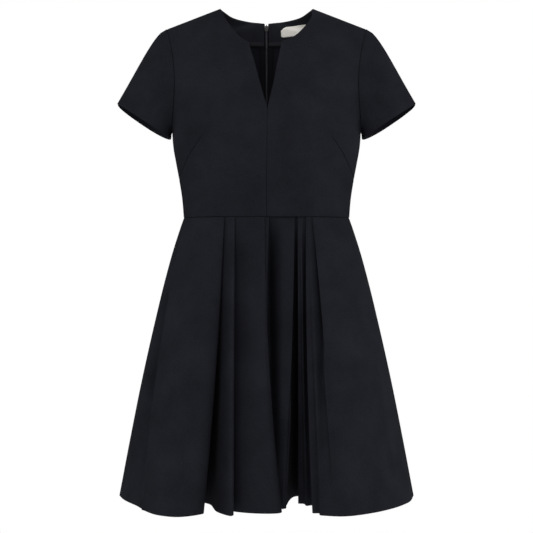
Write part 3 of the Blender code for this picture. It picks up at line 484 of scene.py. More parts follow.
SLEEVE_CREASES = {
    -1: ((203, -34, 180, -112, -5, 9, -2.6), (226, -84, 206, -168, -4, 13, 1.2),
         (184, -150, 214, -186, 3, 7, -1.4), (182, -172, 200, -196, 2, 5, -1.0),
         (248, -112, 240, -160, 2, 10, -0.8)),
    1: ((206, -44, 186, -120, -4, 10, -2.2), (232, -96, 212, -176, -5, 12, 1.4),
        (186, -146, 222, -180, 3, 8, -1.6), (252, -130, 238, -176, 2, 9, -0.9)),
}


# ---------------------------------------------------------------- bodice

class Bodice:
    """Half a bodice, front or back: curves from its centre edge to its side seam or armhole."""

    def __init__(self, sections, corners):
        self.names = list(sections)
        self.keys = np.array([Section(*row) for row in sections.values()], float)
        self.corners = {self.names.index(name) for name in corners}
        self.underarm = self.names.index("underarm")
        self.top = len(self.names) - 1

    def section(self, place):
        inner = spline(self.keys[:, 0:3], place, self.corners)
        outer = spline(self.keys[:, 3:6], place, {self.underarm})
        in_handle, out_handle, turn = spline(self.keys[:, 6:9], place)
        return inner, outer, in_handle, out_handle, math.radians(turn)

    def point(self, place, share):
        inner, outer, in_handle, out_handle, turn = self.section(place)
        leave = inner[:2] + (in_handle, 0.0)
        arrive = outer[:2] - (out_handle * math.sin(turn), out_handle * math.cos(turn))
        x, y = bezier(inner[:2], leave, arrive, outer[:2], share)
        across = (x - inner[0]) / (outer[0] - inner[0])
        return np.array((x, y, mix(inner[2], outer[2], across)))

    def armhole(self, place):
        return self.section(place)[1]

    def dart_place(self, share):
        """The place at which the front dart's line, or its level past its point, is met."""
        xs, zs = np.array(sorted(DART)).T
        place = float(self.underarm) - 1
        for _ in range(6):
            x, _, z = self.point(place, share)
            place += (np.interp(x, xs, zs) - z) / SECTION_STEP
        return place


FRONT = Bodice(FRONT_SECTIONS, FRONT_CORNERS)
BACK = Bodice(BACK_SECTIONS, BACK_CORNERS)


# The groove of a dart's stitched line, across it
DART_FALL = -DART_DEPTH * np.exp(-(np.array(DART_ROWS) / DART_HALF_WIDTH) ** 2)


def front_grid():
    """The front half with rows that follow its dart, its groove and its rows' places."""
    side_place = FRONT.dart_place(1.0)
    half = DART_ROWS[-1] / SECTION_STEP
    meets = (FRONT.underarm - side_place - half) / (FRONT.underarm + 1 - side_place - half)
    between = np.concatenate((np.linspace(0, meets, ROWS_TO_UNDERARM + 1)[1:],
                              np.linspace(meets, 1, ROWS_TO_ARMPIT + 1)[1:]))
    above = np.arange(FRONT.underarm + 1 + ROW_STEP, FRONT.top + 0.01, ROW_STEP)
    columns, places = [], []
    for share in np.linspace(0, 1, BODICE_COLUMNS):
        dart = FRONT.dart_place(share)
        low = np.linspace(0, dart - half, ROWS_BELOW_DART + 1)[:-1]
        at = dart + np.array(DART_ROWS) / SECTION_STEP
        high = mix(dart + half, FRONT.underarm + 1.0, between)
        places.append(np.concatenate((low, at, high, above)))
        columns.append([FRONT.point(place, share) for place in places[-1]])
    grid = np.array(columns).transpose(1, 0, 2)
    groove = np.zeros(grid.shape[:2])
    line_x = grid[ROWS_BELOW_DART + len(DART_ROWS) // 2, :, 0]
    groove[ROWS_BELOW_DART:][:len(DART_ROWS)] = (
        DART_FALL[:, None] * smooth((line_x - DART[-1][0]) / DART_FADE))
    return grid, groove, places[0]


# How far the neckline stands off its pattern as it hangs: height, distance from the centre
LEFT_NECK = ((19.0, 0.0), (12.0, 1.5), (2.0, 4.5), (-14.0, 4.7), (-28.0, 3.5), (-44.0, 2.0),
             (-53.8, -2.6), (-130.0, 0.3), (-177.0, 1.3), (-300.0, 0.0))
RIGHT_NECK = ((19.0, 0.0), (-30.0, 0.0), (-40.0, 0.9), (-48.0, 1.8), (-53.8, 2.2),
              (-130.0, -0.3), (-177.0, -1.3), (-300.0, 0.0))
HANG_REACH = 1 / 1.3  # of the way to the side, within which that dies out


def hanging(grid, neck):
    """A front half whose centre edge is moved along its rows by a table, its side not at all."""
    along = unit(grid[:, 1] - grid[:, 0])
    along *= np.interp(grid[:, 0, 2], *zip(*sorted(neck)))[:, None]
    shares = smooth(1 - np.linspace(0, 1, grid.shape[1]) / HANG_REACH)
    return grid + along[:, None] * shares[None, :, None]


def back_grid():
    """The back half with columns that follow its waist dart, its groove and its rows' places."""
    places = np.arange(0, BACK.top + 0.01, ROW_STEP)
    at = BACK_DART_SHARE + np.array(DART_ROWS) / WAIST_SIDE
    low = np.linspace(0, at[0], COLUMNS_TO_DART + 1)[:-1]
    high = np.linspace(at[-1], 1, COLUMNS_TO_SIDE + 1)[1:]
    shares = np.concatenate((low, at, high))
    grid = np.array([[BACK.point(place, share) for share in shares] for place in places])
    groove = np.zeros(grid.shape[:2])
    groove[:, COLUMNS_TO_DART:][:, :len(DART_ROWS)] = (
        DART_FALL * smooth((BACK_DART_TOP - places) / BACK_DART_FADE)[:, None])
    return grid, groove, places


def sew_bodice(grid, groove, folded, creases):
    """Crease half a bodice, groove its dart and turn its edges. folded says which rows of the
    centre edge are an opening's edge and not a seam."""
    grid = lifted(creased(grid, creases), groove)
    hem = hemmed_edge(ROLL, EDGE_HEM, spacing=4.0)
    grid = turned_by_row(grid, rolled_edge(SEAM_ROLL, len(hem) - 1), hem, folded)
    for edge, radius, gap in (("right", SEAM_ROLL, PRESSED), ("top", ROLL, PRESSED),
                              ("bottom", WAIST_ROLL, SEAM_GAP)):
        grid = turned(grid, edge, rolled_edge(radius, 6, gap))
    return grid


def turned_by_row(grid, seam, opening, folded):
    """Turn the first column in, as a seam in some rows and as an opening's edge in the others."""
    sewn, hemmed = turned(grid, "left", seam), turned(grid, "left", opening)
    kept = min(sewn.shape[1], hemmed.shape[1])
    return np.where(folded[:, None, None], hemmed[:, -kept:], sewn[:, -kept:])


# ---------------------------------------------------------------- sleeves

def armhole_half(bodice, count, facing):
    """Evenly spaced points of the armhole from the shoulder down to the underarm."""
    places = np.linspace(bodice.top, bodice.underarm, FINE_POINTS)
    fine = np.array([bodice.armhole(place) for place in places])
    return [spline(fine, place) * (1.0, facing, 1.0) for place in even_shares(fine, count)]


def cuff_point(turn, facing):
    """A point of the cuff: turn runs from 0 at its outer tip to pi beside the underarm."""
    half_width = (CUFF_TIP[0] - CUFF_HEEL[0]) / 2
    x = CUFF_TIP[0] - half_width * (1 - math.cos(turn))
    y = facing * CUFF_HALF_DEPTH * max(math.sin(turn), 0.0) ** CUFF_ROUND
    drop = CUFF_FRONT_DROP if facing < 0 else CUFF_BACK_DROP
    z = mix(CUFF_TIP[1], CUFF_HEEL[1], (CUFF_TIP[0] - x) / (2 * half_width))
    droop = max(math.sin(turn), 0.0) ** CUFF_DROOP[int(turn > math.pi / 2)]
    return np.array((x, y, z - drop * droop))


def sleeve_grid():
    """The wearer's left sleeve, upwards from its cuff, round it from its underarm seam."""
    lines = {-1: [], 1: []}
    halves = {-1: armhole_half(FRONT, SLEEVE_HALF_COLUMNS + 1, 1.0),
              1: armhole_half(BACK, SLEEVE_HALF_COLUMNS + 1, -1.0)}
    for facing, half in halves.items():
        for number, start in enumerate(half):
            turn = math.pi * number / SLEEVE_HALF_COLUMNS
            top = (1 + math.cos(turn)) / 2
            leave = mix(np.array(CAP_UNDER), np.array(CAP_TOP), top)
            leave = leave + (0.0, facing * CAP_SPREAD * math.sin(turn), 0.0)
            end = cuff_point(turn, facing)
            reach = np.linalg.norm(end - start)
            leave = start + leave * reach * mix(*LEAVE_REACH, top)
            arrive = end - np.array(SLEEVE_HANG) * reach * mix(*ARRIVE_REACH, top)
            shares = np.linspace(1, 0, SLEEVE_ROWS)
            lines[facing].append([bezier(start, leave, arrive, end, share) for share in shares])
    return np.array(lines[-1][::-1] + lines[1][1:]).transpose(1, 0, 2)


def sew_sleeve(grid):
    for facing, creases in SLEEVE_CREASES.items():
        grid = creased(grid, creases, facing)
    grid = turned(grid, "bottom", hemmed_edge(ROLL, CUFF_HEM))
    for edge in ("left", "right"):
        grid = turned(grid, edge, rolled_edge(ROLL, gap=PRESSED))
    return turned(grid, "top", lapped_edge(SEAM_ROLL, ARMHOLE_LAP))


# ---------------------------------------------------------------- skirt

def skirt_side(z):
    """Half the skirt's width at a height, on a smooth curve through its table."""
    heights, widths = np.array(SKIRT_SIDE).T
    first = min(int(np.interp(-z, -heights, np.arange(len(heights)))), len(heights) - 2)
    span = heights[first + 1] - heights[first]
    slopes = np.gradient(widths, heights) * span
    return hermite(widths[first], widths[first + 1], slopes[first], slopes[first + 1],
                   (z - heights[first]) / span)


def flare(z):
    """How much of the skirt's spread it has at a height: 0 at the waist, 1 at the hem."""
    return (skirt_side(z) - WAIST_SIDE) / (HEM_SIDE - WAIST_SIDE)


def waist_y(x, depth):
    return -depth * (1 - min(abs(x) / WAIST_SIDE, 1) ** WAIST_SQUARE) ** (1 / WAIST_SQUARE)


def waist_point(x, layer, depth):
    """A point of the waist seam in a layer of the pleats, and the seam's direction there."""
    left, right = max(x - WAIST_CHORD, -WAIST_SIDE), min(x + WAIST_CHORD, WAIST_SIDE)
    along = np.array((right - left, waist_y(right, depth) - waist_y(left, depth)))
    along /= np.linalg.norm(along)
    inwards = np.array((-along[1], along[0]))
    return np.array((x, waist_y(x, depth))) + layer * PLEAT_LAYER * inwards, along


def fold_end(fold, tip, turn, size):
    """The three points round which the cloth turns at the end of a fold."""
    ahead = np.array((math.cos(math.radians(turn)), math.sin(math.radians(turn))))
    beside = np.array((-ahead[1], ahead[0])) * (1 if fold.kind == "edge" else -1)
    return [tip - size * (ahead + beside), tip, tip - size * (ahead - beside)]


def swell(share, at):
    """A bump that grows from 0, is 1 at a share of the way, and dies out towards 1."""
    return (share / at) ** (2 * at / (1 - at)) * ((1 - share) / (1 - at)) ** 2


def fold_points(fold, z, depth):
    """A key's point at a height, or the three points of a fold's end."""
    down = (WAIST_Z - z) / (WAIST_Z - HEM_Z)
    spread = flare(z)
    waist, along = waist_point(fold.waist_x, fold.layer, depth)
    near_side = min(abs(fold.waist_x) / STRAIGHT_FALL, 1.0)
    x = mix(waist[0], fold.hem_x, mix(down, spread, near_side)) + fold.bow * 4 * down * (1 - down)
    tip = np.array((x, mix(waist[1], fold.hem_y, spread) + fold.sink * swell(down, fold.at)))
    if fold.kind == "key":
        return [tip]
    waist_turn = math.degrees(math.atan2(along[1], along[0])) + (0 if fold.lap > 0 else 180)
    folded = fold_end(fold, tip, waist_turn, PLEAT_LAYER / 2)
    if fold.opens == NEVER:
        turn = mix(waist_turn, fold.hem_turn, spread)
        return fold_end(fold, tip, turn, mix(PLEAT_LAYER / 2, fold.radius, spread))
    run = math.radians(fold.hem_turn)
    reach = np.array((math.cos(run), math.sin(run))) * fold.radius
    flat = (tip - reach, tip, tip + reach)
    opened = smooth((spread - fold.opens) / OPENING_REACH)
    return [mix(bent, spread_out, opened) for bent, spread_out in zip(folded, flat)]


def through(keys, number, share):
    """A point between two keys of a plan, on a centripetal curve that never loops."""
    here, there = keys[number], keys[number + 1]
    before = keys[number - 1] if number > 0 else 2 * here - there
    after = keys[number + 2] if number + 2 < len(keys) else 2 * there - here
    points = (before, here, there, after)
    knots = [0.0]
    for near, far in zip(points, points[1:]):
        knots.append(knots[-1] + max(math.dist(near, far), 1e-6) ** 0.5)
    place = mix(knots[1], knots[2], share)

    def between(low, high, start, end):
        near, far = knots[low], knots[high]
        return ((far - place) * start + (place - near) * end) / (far - near)

    first = between(0, 1, before, here)
    second = between(1, 2, here, there)
    third = between(2, 3, there, after)
    return between(1, 2, between(0, 2, first, second), between(1, 3, second, third))


def plan(folds, z, depth):
    """The skirt's plan at one height, and the column at which each fold stands."""
    keys, steps, middles = [], [], []
    for fold in folds:
        points = fold_points(fold, z, depth)
        middles.append(len(keys) + len(points) // 2)
        keys += points
        steps += [1] * (len(points) - 1) + [fold.steps]
    outline, starts = [], []
    for number in range(len(keys) - 1):
        count = steps[number] * DETAIL
        starts.append(len(outline))
        outline += [through(keys, number, share / count) for share in range(count)]
    starts.append(len(outline))
    outline.append(keys[-1])
    return np.array(outline), [starts[number] for number in middles]


def skirt_grid(folds, depth):
    """Rows from the hem up to the waist seam, and the column of each fold."""
    rows = []
    for z in np.linspace(HEM_Z, WAIST_Z, SKIRT_ROWS):
        outline, columns = plan(folds, z, depth)
        rows.append(np.column_stack((outline, np.full(len(outline), z))))
    return np.array(rows), columns


# Soft waves down the skirt's panels. A place counts folds from the table's first row, and down
# runs from 0 at the waist to 1 at the hem. A wave fades at both ends, or at its upper one only
# if it runs to the hem.
Wave = namedtuple("Wave", "place down end_place end_down half_width height")
WAVE_NARROW = 0.55  # its width at the waist, as a share of that at the hem
WAVE_FADE = 0.7  # exponent of its fading towards both ends
WAVE_START = 1.6  # one over the share of its length in which it comes in


def waved(grid, columns, waves):
    """Lift a skirt along its normals in waves that run down it."""
    lengths = travelled(grid)
    downs = (WAIST_Z - grid[:, 0, 2]) / (WAIST_Z - HEM_Z)
    numbers = np.arange(grid.shape[1])
    rise = np.zeros(grid.shape[:2])
    for row in waves:
        wave = Wave(*row)
        share = (downs - wave.down) / (wave.end_down - wave.down)
        places = mix(wave.place, wave.end_place, np.clip(share, 0, 1))
        middle = [np.interp(np.interp(place, range(len(columns)), columns), numbers, far)
                  for place, far in zip(places, lengths)]
        reach = wave.half_width * mix(WAVE_NARROW, 1.0, np.clip(downs, 0, 1))
        fade = np.sin(math.pi * np.clip(share, 0, 1)) ** WAVE_FADE
        if wave.end_down >= 1:
            fade = smooth(share * WAVE_START)
        distance = (lengths - np.array(middle)[:, None]) / reach[:, None]
        rise += wave.height * fade[:, None] * np.exp(-distance ** 2)
    return lifted(grid, rise)


FRONT_LEFT_WAVES = (
    (2.9, 0.08, 2.9, 1.0, 9, -2.2),
    (4.5, 0.04, 4.5, 1.0, 6, 1.5),
    (6.2, 0.15, 6.1, 0.85, 20, -1.4),
    (7.3, 0.30, 7.2, 1.0, 16, 1.2),
    (16.0, 0.30, 15.7, 1.0, 13, -1.0),
)
FRONT_RIGHT_WAVES = (
    (15.4, 0.25, 15.6, 1.0, 20, -1.6),
    (16.6, 0.10, 16.5, 0.8, 16, 1.2),
    (17.5, 0.35, 17.5, 1.0, 15, -1.2),
)
BACK_LEFT_WAVES = (
    (1.5, 0.12, 1.5, 1.0, 10, -2.4),
    (2.6, 0.10, 2.7, 0.9, 18, -2.2),
    (3.6, 0.30, 3.4, 1.0, 15, 1.8),
    (12.2, 0.30, 12.3, 1.0, 13, -1.5),
)
BACK_RIGHT_WAVES = (
    (1.8, 0.16, 1.7, 1.0, 12, -2.0),
    (3.1, 0.20, 2.9, 1.0, 20, -2.4),
    (12.5, 0.40, 12.4, 1.0, 12, -1.2),
)


VALLEY_GAP = 0.3  # half the gap between the two front panels in their valley


def split_valley(grid, keep):
    """Cut a front panel at the middle of the valley that hides the centre front seam."""
    grid = (grid[:, :-DETAIL] if keep == "before" else grid[:, DETAIL:]).copy()
    column, beside = (-1, -2) if keep == "before" else (0, 1)
    grid[:, column] += unit(grid[:, beside] - grid[:, column]) * VALLEY_GAP
    return grid


# ---------------------------------------------------------------- materials

CREPE = (0.0132, 0.0139, 0.0178)
# Painted light: the facing is the same crepe, given a lighter colour than CREPE to stand in for
# light that falls too little inside the back neck
FACING_PAINTED_LIGHTER_COLOUR = (0.0193, 0.0201, 0.0250)
BINDING_COLOUR = (0.0188, 0.0196, 0.0242)
TAPE_COLOUR = (0.0050, 0.0053, 0.0074)
COIL_COLOUR = (0.050, 0.052, 0.066)
LABEL_COLOUR = (1.0, 0.95, 0.88)
THREAD_COLOUR = (0.62, 0.59, 0.52)
METAL_COLOUR = (0.13, 0.13, 0.135)
FLOOR_COLOUR = (0.90, 0.90, 0.90)


STOPS = (0.3, 0.7)  # places of the darkest and the lightest colour in a grey signal


class Finish:
    """A Principled material whose node tree is built step by step."""

    def __init__(self, name, **sockets):
        self.material = bpy.data.materials.new(name)
        self.material.use_nodes = True
        self.tree = self.material.node_tree
        self.shader = self.tree.nodes["Principled BSDF"]
        self.place = self.node("TexCoord", "Object")
        self.feed(self.shader, **sockets)

    def feed(self, node, **inputs):
        """Set inputs of a node, each to a value or to the output that is linked to it."""
        for name, value in inputs.items():
            socket = node.inputs[name.replace("_", " ")]
            if isinstance(value, bpy.types.NodeSocket):
                self.tree.links.new(value, socket)
            else:
                socket.default_value = value

    def node(self, kind, output, **inputs):
        """Add a node and give one of its outputs."""
        made = self.tree.nodes.new("ShaderNode" + kind)
        self.feed(made, **inputs)
        return made.outputs[output]

    def noise(self, scale, detail=2.0, stretch=(1, 1, 1)):
        """Noise whose grain is 1 / scale metres across."""
        place = self.node("Mapping", "Vector", Vector=self.place, Scale=stretch)
        return self.node("TexNoise", "Fac", Vector=place, Scale=scale, Detail=detail)

    def wave(self, scale, axis):
        """Even ridges along an axis, scale of them in a metre."""
        made = self.node("TexWave", "Fac", Vector=self.place, Scale=scale * math.pi / 10)
        made.node.bands_direction = axis
        return made

    def blend(self, first, second, share):
        """A mean of two grey signals."""
        return self.node("Mix", "Result", Factor=share, A=first, B=second)

    def colour(self, signal, base, spread):
        """A colour that strays by a share to each side of its base."""
        ramp = self.node("ValToRGB", "Color", Fac=signal)
        stops = zip(ramp.node.color_ramp.elements, STOPS, (1 - spread, 1 + spread))
        for stop, place, share in stops:
            stop.position = place
            stop.color = (*(min(part * share, 1.0) for part in base), 1.0)
        self.feed(self.shader, Base_Color=ramp)

    def roughness(self, signal, low, high):
        made = self.node("MapRange", "Result", Value=signal, To_Min=low, To_Max=high)
        self.feed(self.shader, Roughness=made)

    def bump(self, signal, height, strength):
        """Relief of a height in millimetres."""
        made = self.node("Bump", "Normal", Height=signal, Distance=height * MM,
                         Strength=strength)
        self.feed(self.shader, Normal=made)


def crepe_finish(name, colour):
    """Matte crepe: a pebbled, tightly twisted weave with a faint bloom at glancing angles."""
    made = Finish(name, Specular_IOR_Level=0.0, Sheen_Weight=0.008, Sheen_Roughness=0.4)
    cloud = made.noise(scale=17.0, detail=4.0)
    fibre = made.noise(scale=460.0, detail=4.0)
    made.colour(made.blend(cloud, fibre, 0.5), colour, spread=0.30)
    made.roughness(fibre, low=0.70, high=0.84)
    pebble = made.noise(scale=1500.0, detail=3.0, stretch=(1.0, 1.0, 0.7))
    made.bump(pebble, height=0.10, strength=0.5)
    return made.material


def woven_finish(name, colour, threads, height, sockets, spread=0.10):
    """A plain weave: two families of ridges, broken up by the fibre's own noise."""
    made = Finish(name, **sockets)
    fibre = made.noise(scale=1100.0, detail=2.0)
    weave = made.blend(made.wave(threads, "X"), made.wave(threads, "Z"), 0.5)
    made.colour(made.blend(weave, fibre, 0.4), colour, spread)
    made.roughness(fibre, low=0.62, high=0.82)
    made.bump(made.blend(weave, fibre, 0.3), height, strength=0.8)
    return made.material


def plain_finish(name, colour, spread, grain, rough, relief=None, **sockets):
    """One grain (scale, detail, stretch) that stirs colour, roughness and, if asked, relief."""
    made = Finish(name, **sockets)
    signal = made.noise(*grain)
    made.colour(signal, colour, spread)
    made.roughness(signal, *rough)
    if relief:
        made.bump(signal, *relief)
    return made.material


SOFT = {"Specular_IOR_Level": 0.1, "Sheen_Weight": 0.01}
SATIN = {"Specular_IOR_Level": 0.9, "Sheen_Weight": 0.25}
FINISHES = {
    "crepe": crepe_finish("crepe", CREPE),
    # the facing's crepe carries painted light: its colour is lighter than the crepe's to make up
    # for the dimmer light inside the back neck
    "facing": crepe_finish("facing crepe painted lighter", FACING_PAINTED_LIGHTER_COLOUR),
    "binding": woven_finish("binding twill", BINDING_COLOUR, 1400, 0.08, SOFT),
    "tape": woven_finish("zip tape", TAPE_COLOUR, 1200, 0.10, SOFT),
    "label": woven_finish("label weave", LABEL_COLOUR, 1500, 0.03, SATIN, 0.03),
    "coil": plain_finish("nylon coil", COIL_COLOUR, 0.15, (420.0, 2.0), (0.30, 0.45),
                         Specular_IOR_Level=0.5),
    "metal": plain_finish("nickel", METAL_COLOUR, 0.12, (260.0, 4.0, (6.0, 6.0, 0.6)),
                          (0.26, 0.44), (0.02, 0.4), Metallic=1.0),
    "thread": plain_finish("thread", THREAD_COLOUR, 0.12, (1600.0, 2.0), (0.55, 0.75),
                           Specular_IOR_Level=0.3, Sheen_Weight=0.2),
    "floor": plain_finish("studio floor", FLOOR_COLOUR, 0.01, (60.0, 4.0), (0.75, 0.85),
                          Specular_IOR_Level=0.2),
}


# ---------------------------------------------------------------- pieces


def placed(name, data, place=(0, 0, 0), turn=(0, 0, 0)):
    """A new object in the scene, its place in metres."""
    made = bpy.data.objects.new(name, data)
    made.location = place
    made.rotation_euler = turn
    bpy.context.scene.collection.objects.link(made)
    return made


def dress_piece(name, data, finish):
    """An object that rides with the dress."""
    data.materials.append(FINISHES[finish])
    piece = placed(name, data)
    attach(piece, "dress")
    return piece


def mesh_piece(name, points, faces, finish):
    mesh = bpy.data.meshes.new(name)
    mesh.from_pydata([Vector(point) * MM for point in points], [], faces)
    mesh.shade_smooth()
    return dress_piece(name, mesh, finish)


def cloth_piece(name, grid, node, finish="crepe", wall=WALL, offset=-1.0):
    """A cloth piece through a grid of points, which stands for a solid of the frame."""
    piece = mesh_piece(name, grid.reshape(-1, 3), grid_faces(*grid.shape[:2]), finish)
    shell = piece.modifiers.new("Wall", "SOLIDIFY")
    shell.thickness = wall * MM
    shell.offset = offset
    shell.use_even_offset = False
    shell.use_quality_normals = True
    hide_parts(node)
    return piece


def curve_piece(name, splines, radius, finish):
    """A wire or thread along lists of points."""
    curve = bpy.data.curves.new(name, "CURVE")
    curve.dimensions = "3D"
    curve.bevel_depth = radius * MM
    curve.bevel_resolution = 1
    curve.use_fill_caps = True
    for points in splines:
        line = curve.splines.new("POLY")
        line.points.add(len(points) - 1)
        for made, point in zip(line.points, points):
            made.co = (*(Vector(point) * MM), 1.0)
    return dress_piece(name, curve, finish)


# ---------------------------------------------------------------- what lies inside the back

TAPE_WALL = 0.5
TAPE_X = (1.1, 7.0, 13.0)
TAPE_TOP = -7.0
TAPE_FOOT = -528.0
TAPE_DEPTH = 1.7  # of its outer face inside the back's
WAIST_PUSH = 1.1  # the waist seam's layers push the tape in by this
WAIST_PUSH_REACH = 22.0
COIL_TOP = -11.5
COIL_DEPTH = 3.7  # of the coil's middle
COIL_PITCH = 1.4
COIL_HALF_WIDTH = 1.15
COIL_HALF_DEPTH = 0.42
COIL_MIDDLE = 0.62  # how far each half's middle lies from the seam
COIL_WIRE = 0.28
TURN_POINTS = 8
FACING_WALL = 1.0
FACING_GRID = (60, 16)  # columns and rows
FACING_ROLL = 0.55  # radius and depth of its hem beside the zip
FACING_HEM = 5.0
BINDING_HALF_WIDTH = 4.0
BINDING_HALF_THICK = 0.85
BINDING_OVER = 0.6  # how far it stands over the facing's edge
BAND_SQUARE = 0.6  # exponent of a band's section, 1 being an ellipse
BAND_SIDES = 16
LABEL_GRID = (36, 12)
LABEL_WALL = 0.45
TAPE_GRID = (7, 110)
COIL_HEIGHTS = 60  # at which its depth is found
STITCH_LENGTH = 2.1
STITCH_GAP = 0.9
STITCH_RADIUS = 0.2
STITCH_ARCH = ((0, -0.05), (0.25, 0.12), (0.75, 0.12), (1, -0.05))  # share of it, and lift


class Inside:
    """The half back that is on the right from behind, to lay things on its inside."""

    def __init__(self, *grids):
        points, faces = [], []
        for grid in grids:
            for face in grid_faces(*grid.shape[:2]):
                faces.append([len(points) + corner for corner in face])
            points += [Vector(point) for point in grid.reshape(-1, 3)]
        self.tree = BVHTree.FromPolygons(points, faces)

    def lay(self, point, depth):
        """The nearest point of the cloth, moved in by depth."""
        place, outwards, _, _ = self.tree.find_nearest(Vector(point))
        return np.array(place - outwards * depth)


def even_line(line, columns):
    """A curve through points, divided into equal lengths."""
    return np.array([spline(line, place) for place in even_shares(line, columns)])


def facing_grid(back, columns, rows):
    """The facing from its free edge up to the neckline, from the zip to the shoulder seam."""
    nape = BACK.names.index("nape")
    neck = np.array([BACK.section(place)[0] for place in np.linspace(nape, BACK.top, FINE_POINTS)])
    corners = np.array(FACING_EDGE)
    free_places = np.linspace(0, len(corners) - 1, FINE_POINTS)
    free = np.array([spline(corners, place) for place in free_places])
    neck, free = even_line(neck, columns), even_line(free, columns)
    near, far = TAPE_REACH
    grid = []
    for share in np.linspace(0, 1, rows):
        line = mix(free, neck, share)
        line[:, 0] = np.maximum(line[:, 0], FACING_CENTRE)
        reach = np.clip((line[:, 0] - near) / (far - near), 0, 1)
        depths = mix(FACING_TUCK, FACING_LIE, reach)
        grid.append([back.lay(point, depth) for point, depth in zip(line, depths)])
    return np.array(grid)


def label_grid(facing, columns, rows):
    """The label on the wearer's left half of the facing, with its corners clipped."""
    surface = Inside(facing)
    grid = []
    for share in np.linspace(0, 1, rows):
        line = []
        for x in np.linspace(*LABEL_X, columns):
            clip = max(LABEL_CLIP - (x - LABEL_X[0]), LABEL_CLIP - (LABEL_X[1] - x), 0.0)
            fall = np.interp(x - LABEL_X[0], *zip(*LABEL_FALL))
            z = mix(LABEL_Z[0] + clip, LABEL_Z[1] - max(clip, fall), share)
            y = mix(LABEL_Y[0], LABEL_Y[1], (x - LABEL_X[0]) / (LABEL_X[1] - LABEL_X[0]))
            line.append(surface.lay((x, y, z), LABEL_DEPTH))
        grid.append(line)
    return np.array(grid)


def seam_line(z):
    """Depth of the centre back seam at a height, seen from behind."""
    seam = BACK.keys[:BACK.names.index("nape") + 1]
    if z > WAIST_Z:
        return float(np.interp(z, seam[:, 2], seam[:, 1]))
    return mix(-WAIST_BACK, BACK_FOLDS[-1].hem_y, flare(z))


def zip_depth(back, z, depth):
    """Y of a strip inside the centre back seam, pushed in by the waist seam."""
    push = WAIST_PUSH * math.exp(-((z - WAIST_Z) / WAIST_PUSH_REACH) ** 2)
    return max(back.lay((x, seam_line(z), z), depth + push)[1] for x in TAPE_X)


def tape_grid(back, columns, rows):
    across = np.linspace(TAPE_X[0], TAPE_X[-1], columns)
    return np.array([[(x, zip_depth(back, z, TAPE_DEPTH), z) for x in across]
                     for z in np.linspace(TAPE_FOOT, TAPE_TOP, rows)])


def coil_path(back, side):
    """One half of the coil, as a flattened helix that the other half's turns lie between."""
    heights = np.linspace(TAPE_FOOT, COIL_TOP, COIL_HEIGHTS)
    depths = [zip_depth(back, z, COIL_DEPTH) for z in heights]
    turns = int((COIL_TOP - TAPE_FOOT) / COIL_PITCH)
    points = []
    for number in range(turns * TURN_POINTS + 1):
        turn = 2 * math.pi * (number / TURN_POINTS + (0.5 if side > 0 else 0.0))
        z = TAPE_FOOT + COIL_PITCH * number / TURN_POINTS
        x = side * (COIL_MIDDLE + COIL_HALF_WIDTH * math.cos(turn))
        points.append((x, np.interp(z, heights, depths) + COIL_HALF_DEPTH * math.sin(turn), z))
    return points


def stitch_row(line, normal_of):
    """Short stitches along a line of points, a little proud of the cloth."""
    lengths = travelled(line)
    stitches = []
    for start in np.arange(0, lengths[-1] - STITCH_LENGTH, STITCH_LENGTH + STITCH_GAP):
        stitch = []
        for share, lift in STITCH_ARCH:
            point = along_line(line, lengths, start + share * STITCH_LENGTH)
            stitch.append(point + lift * normal_of(point))
        stitches.append(stitch)
    return stitches


def band_points(line, aside, normals, half_width, half_thick):
    """Rings of a flat band with rounded edges along a line, and its faces with both ends closed."""
    def rounded(part):
        return math.copysign(abs(part) ** BAND_SQUARE, part)

    turns = [2 * math.pi * number / BAND_SIDES for number in range(BAND_SIDES)]
    points = [point + rounded(math.cos(turn)) * half_width * beside
              + rounded(math.sin(turn)) * half_thick * normal
              for point, beside, normal in zip(line, aside, normals) for turn in turns]
    faces = []
    for low in range(0, (len(line) - 1) * BAND_SIDES, BAND_SIDES):
        high = low + BAND_SIDES
        for number in range(BAND_SIDES):
            there = (number + 1) % BAND_SIDES
            faces.append((low + number, high + number, high + there, low + there))
    faces.append(tuple(range(BAND_SIDES)))
    faces.append(tuple(range(len(points) - 1, len(points) - BAND_SIDES - 1, -1)))
    return points, faces


def build_binding(name, facing, turn_round):
    """The strip that binds the facing's free edge."""
    aside = unit(facing[2] - facing[0])
    normals = outward(facing)[0]
    line = facing[0] + aside * (BINDING_HALF_WIDTH - BINDING_OVER) - normals * FACING_WALL / 2
    points, faces = band_points(line[1:-1], aside[1:-1], normals[1:-1], BINDING_HALF_WIDTH,
                                BINDING_HALF_THICK)
    points = turn_round(np.array(points)[:, None])[:, 0]
    return mesh_piece(name, points, faces, "binding")


def in_place(grid):
    """A sheet that is worked out where it belongs."""
    return grid


def left_half(grid):
    return from_behind(mirrored(grid))


def flipped(points):
    """Points of the right half moved to the left one, in their own order."""
    return np.asarray(points) * (1.0, -1.0, 1.0)


def build_label(facing):
    grid = label_grid(facing, *LABEL_GRID)
    label = cloth_piece("woven_label", left_half(grid), "label", "label", LABEL_WALL)
    surface = Inside(grid)

    def normal_of(point):
        return np.array(surface.tree.find_nearest(Vector(point))[1]) * -1.0

    under = grid - outward(grid) * LABEL_WALL
    lines = (under[1, 1:-1], under[-2, 1:-1], under[1:-1, 1], under[1:-1, -2])
    stitches = [flipped(stitch) for line in lines for stitch in stitch_row(line, normal_of)]
    thread = curve_piece("label_stitches", stitches, STITCH_RADIUS, "thread")


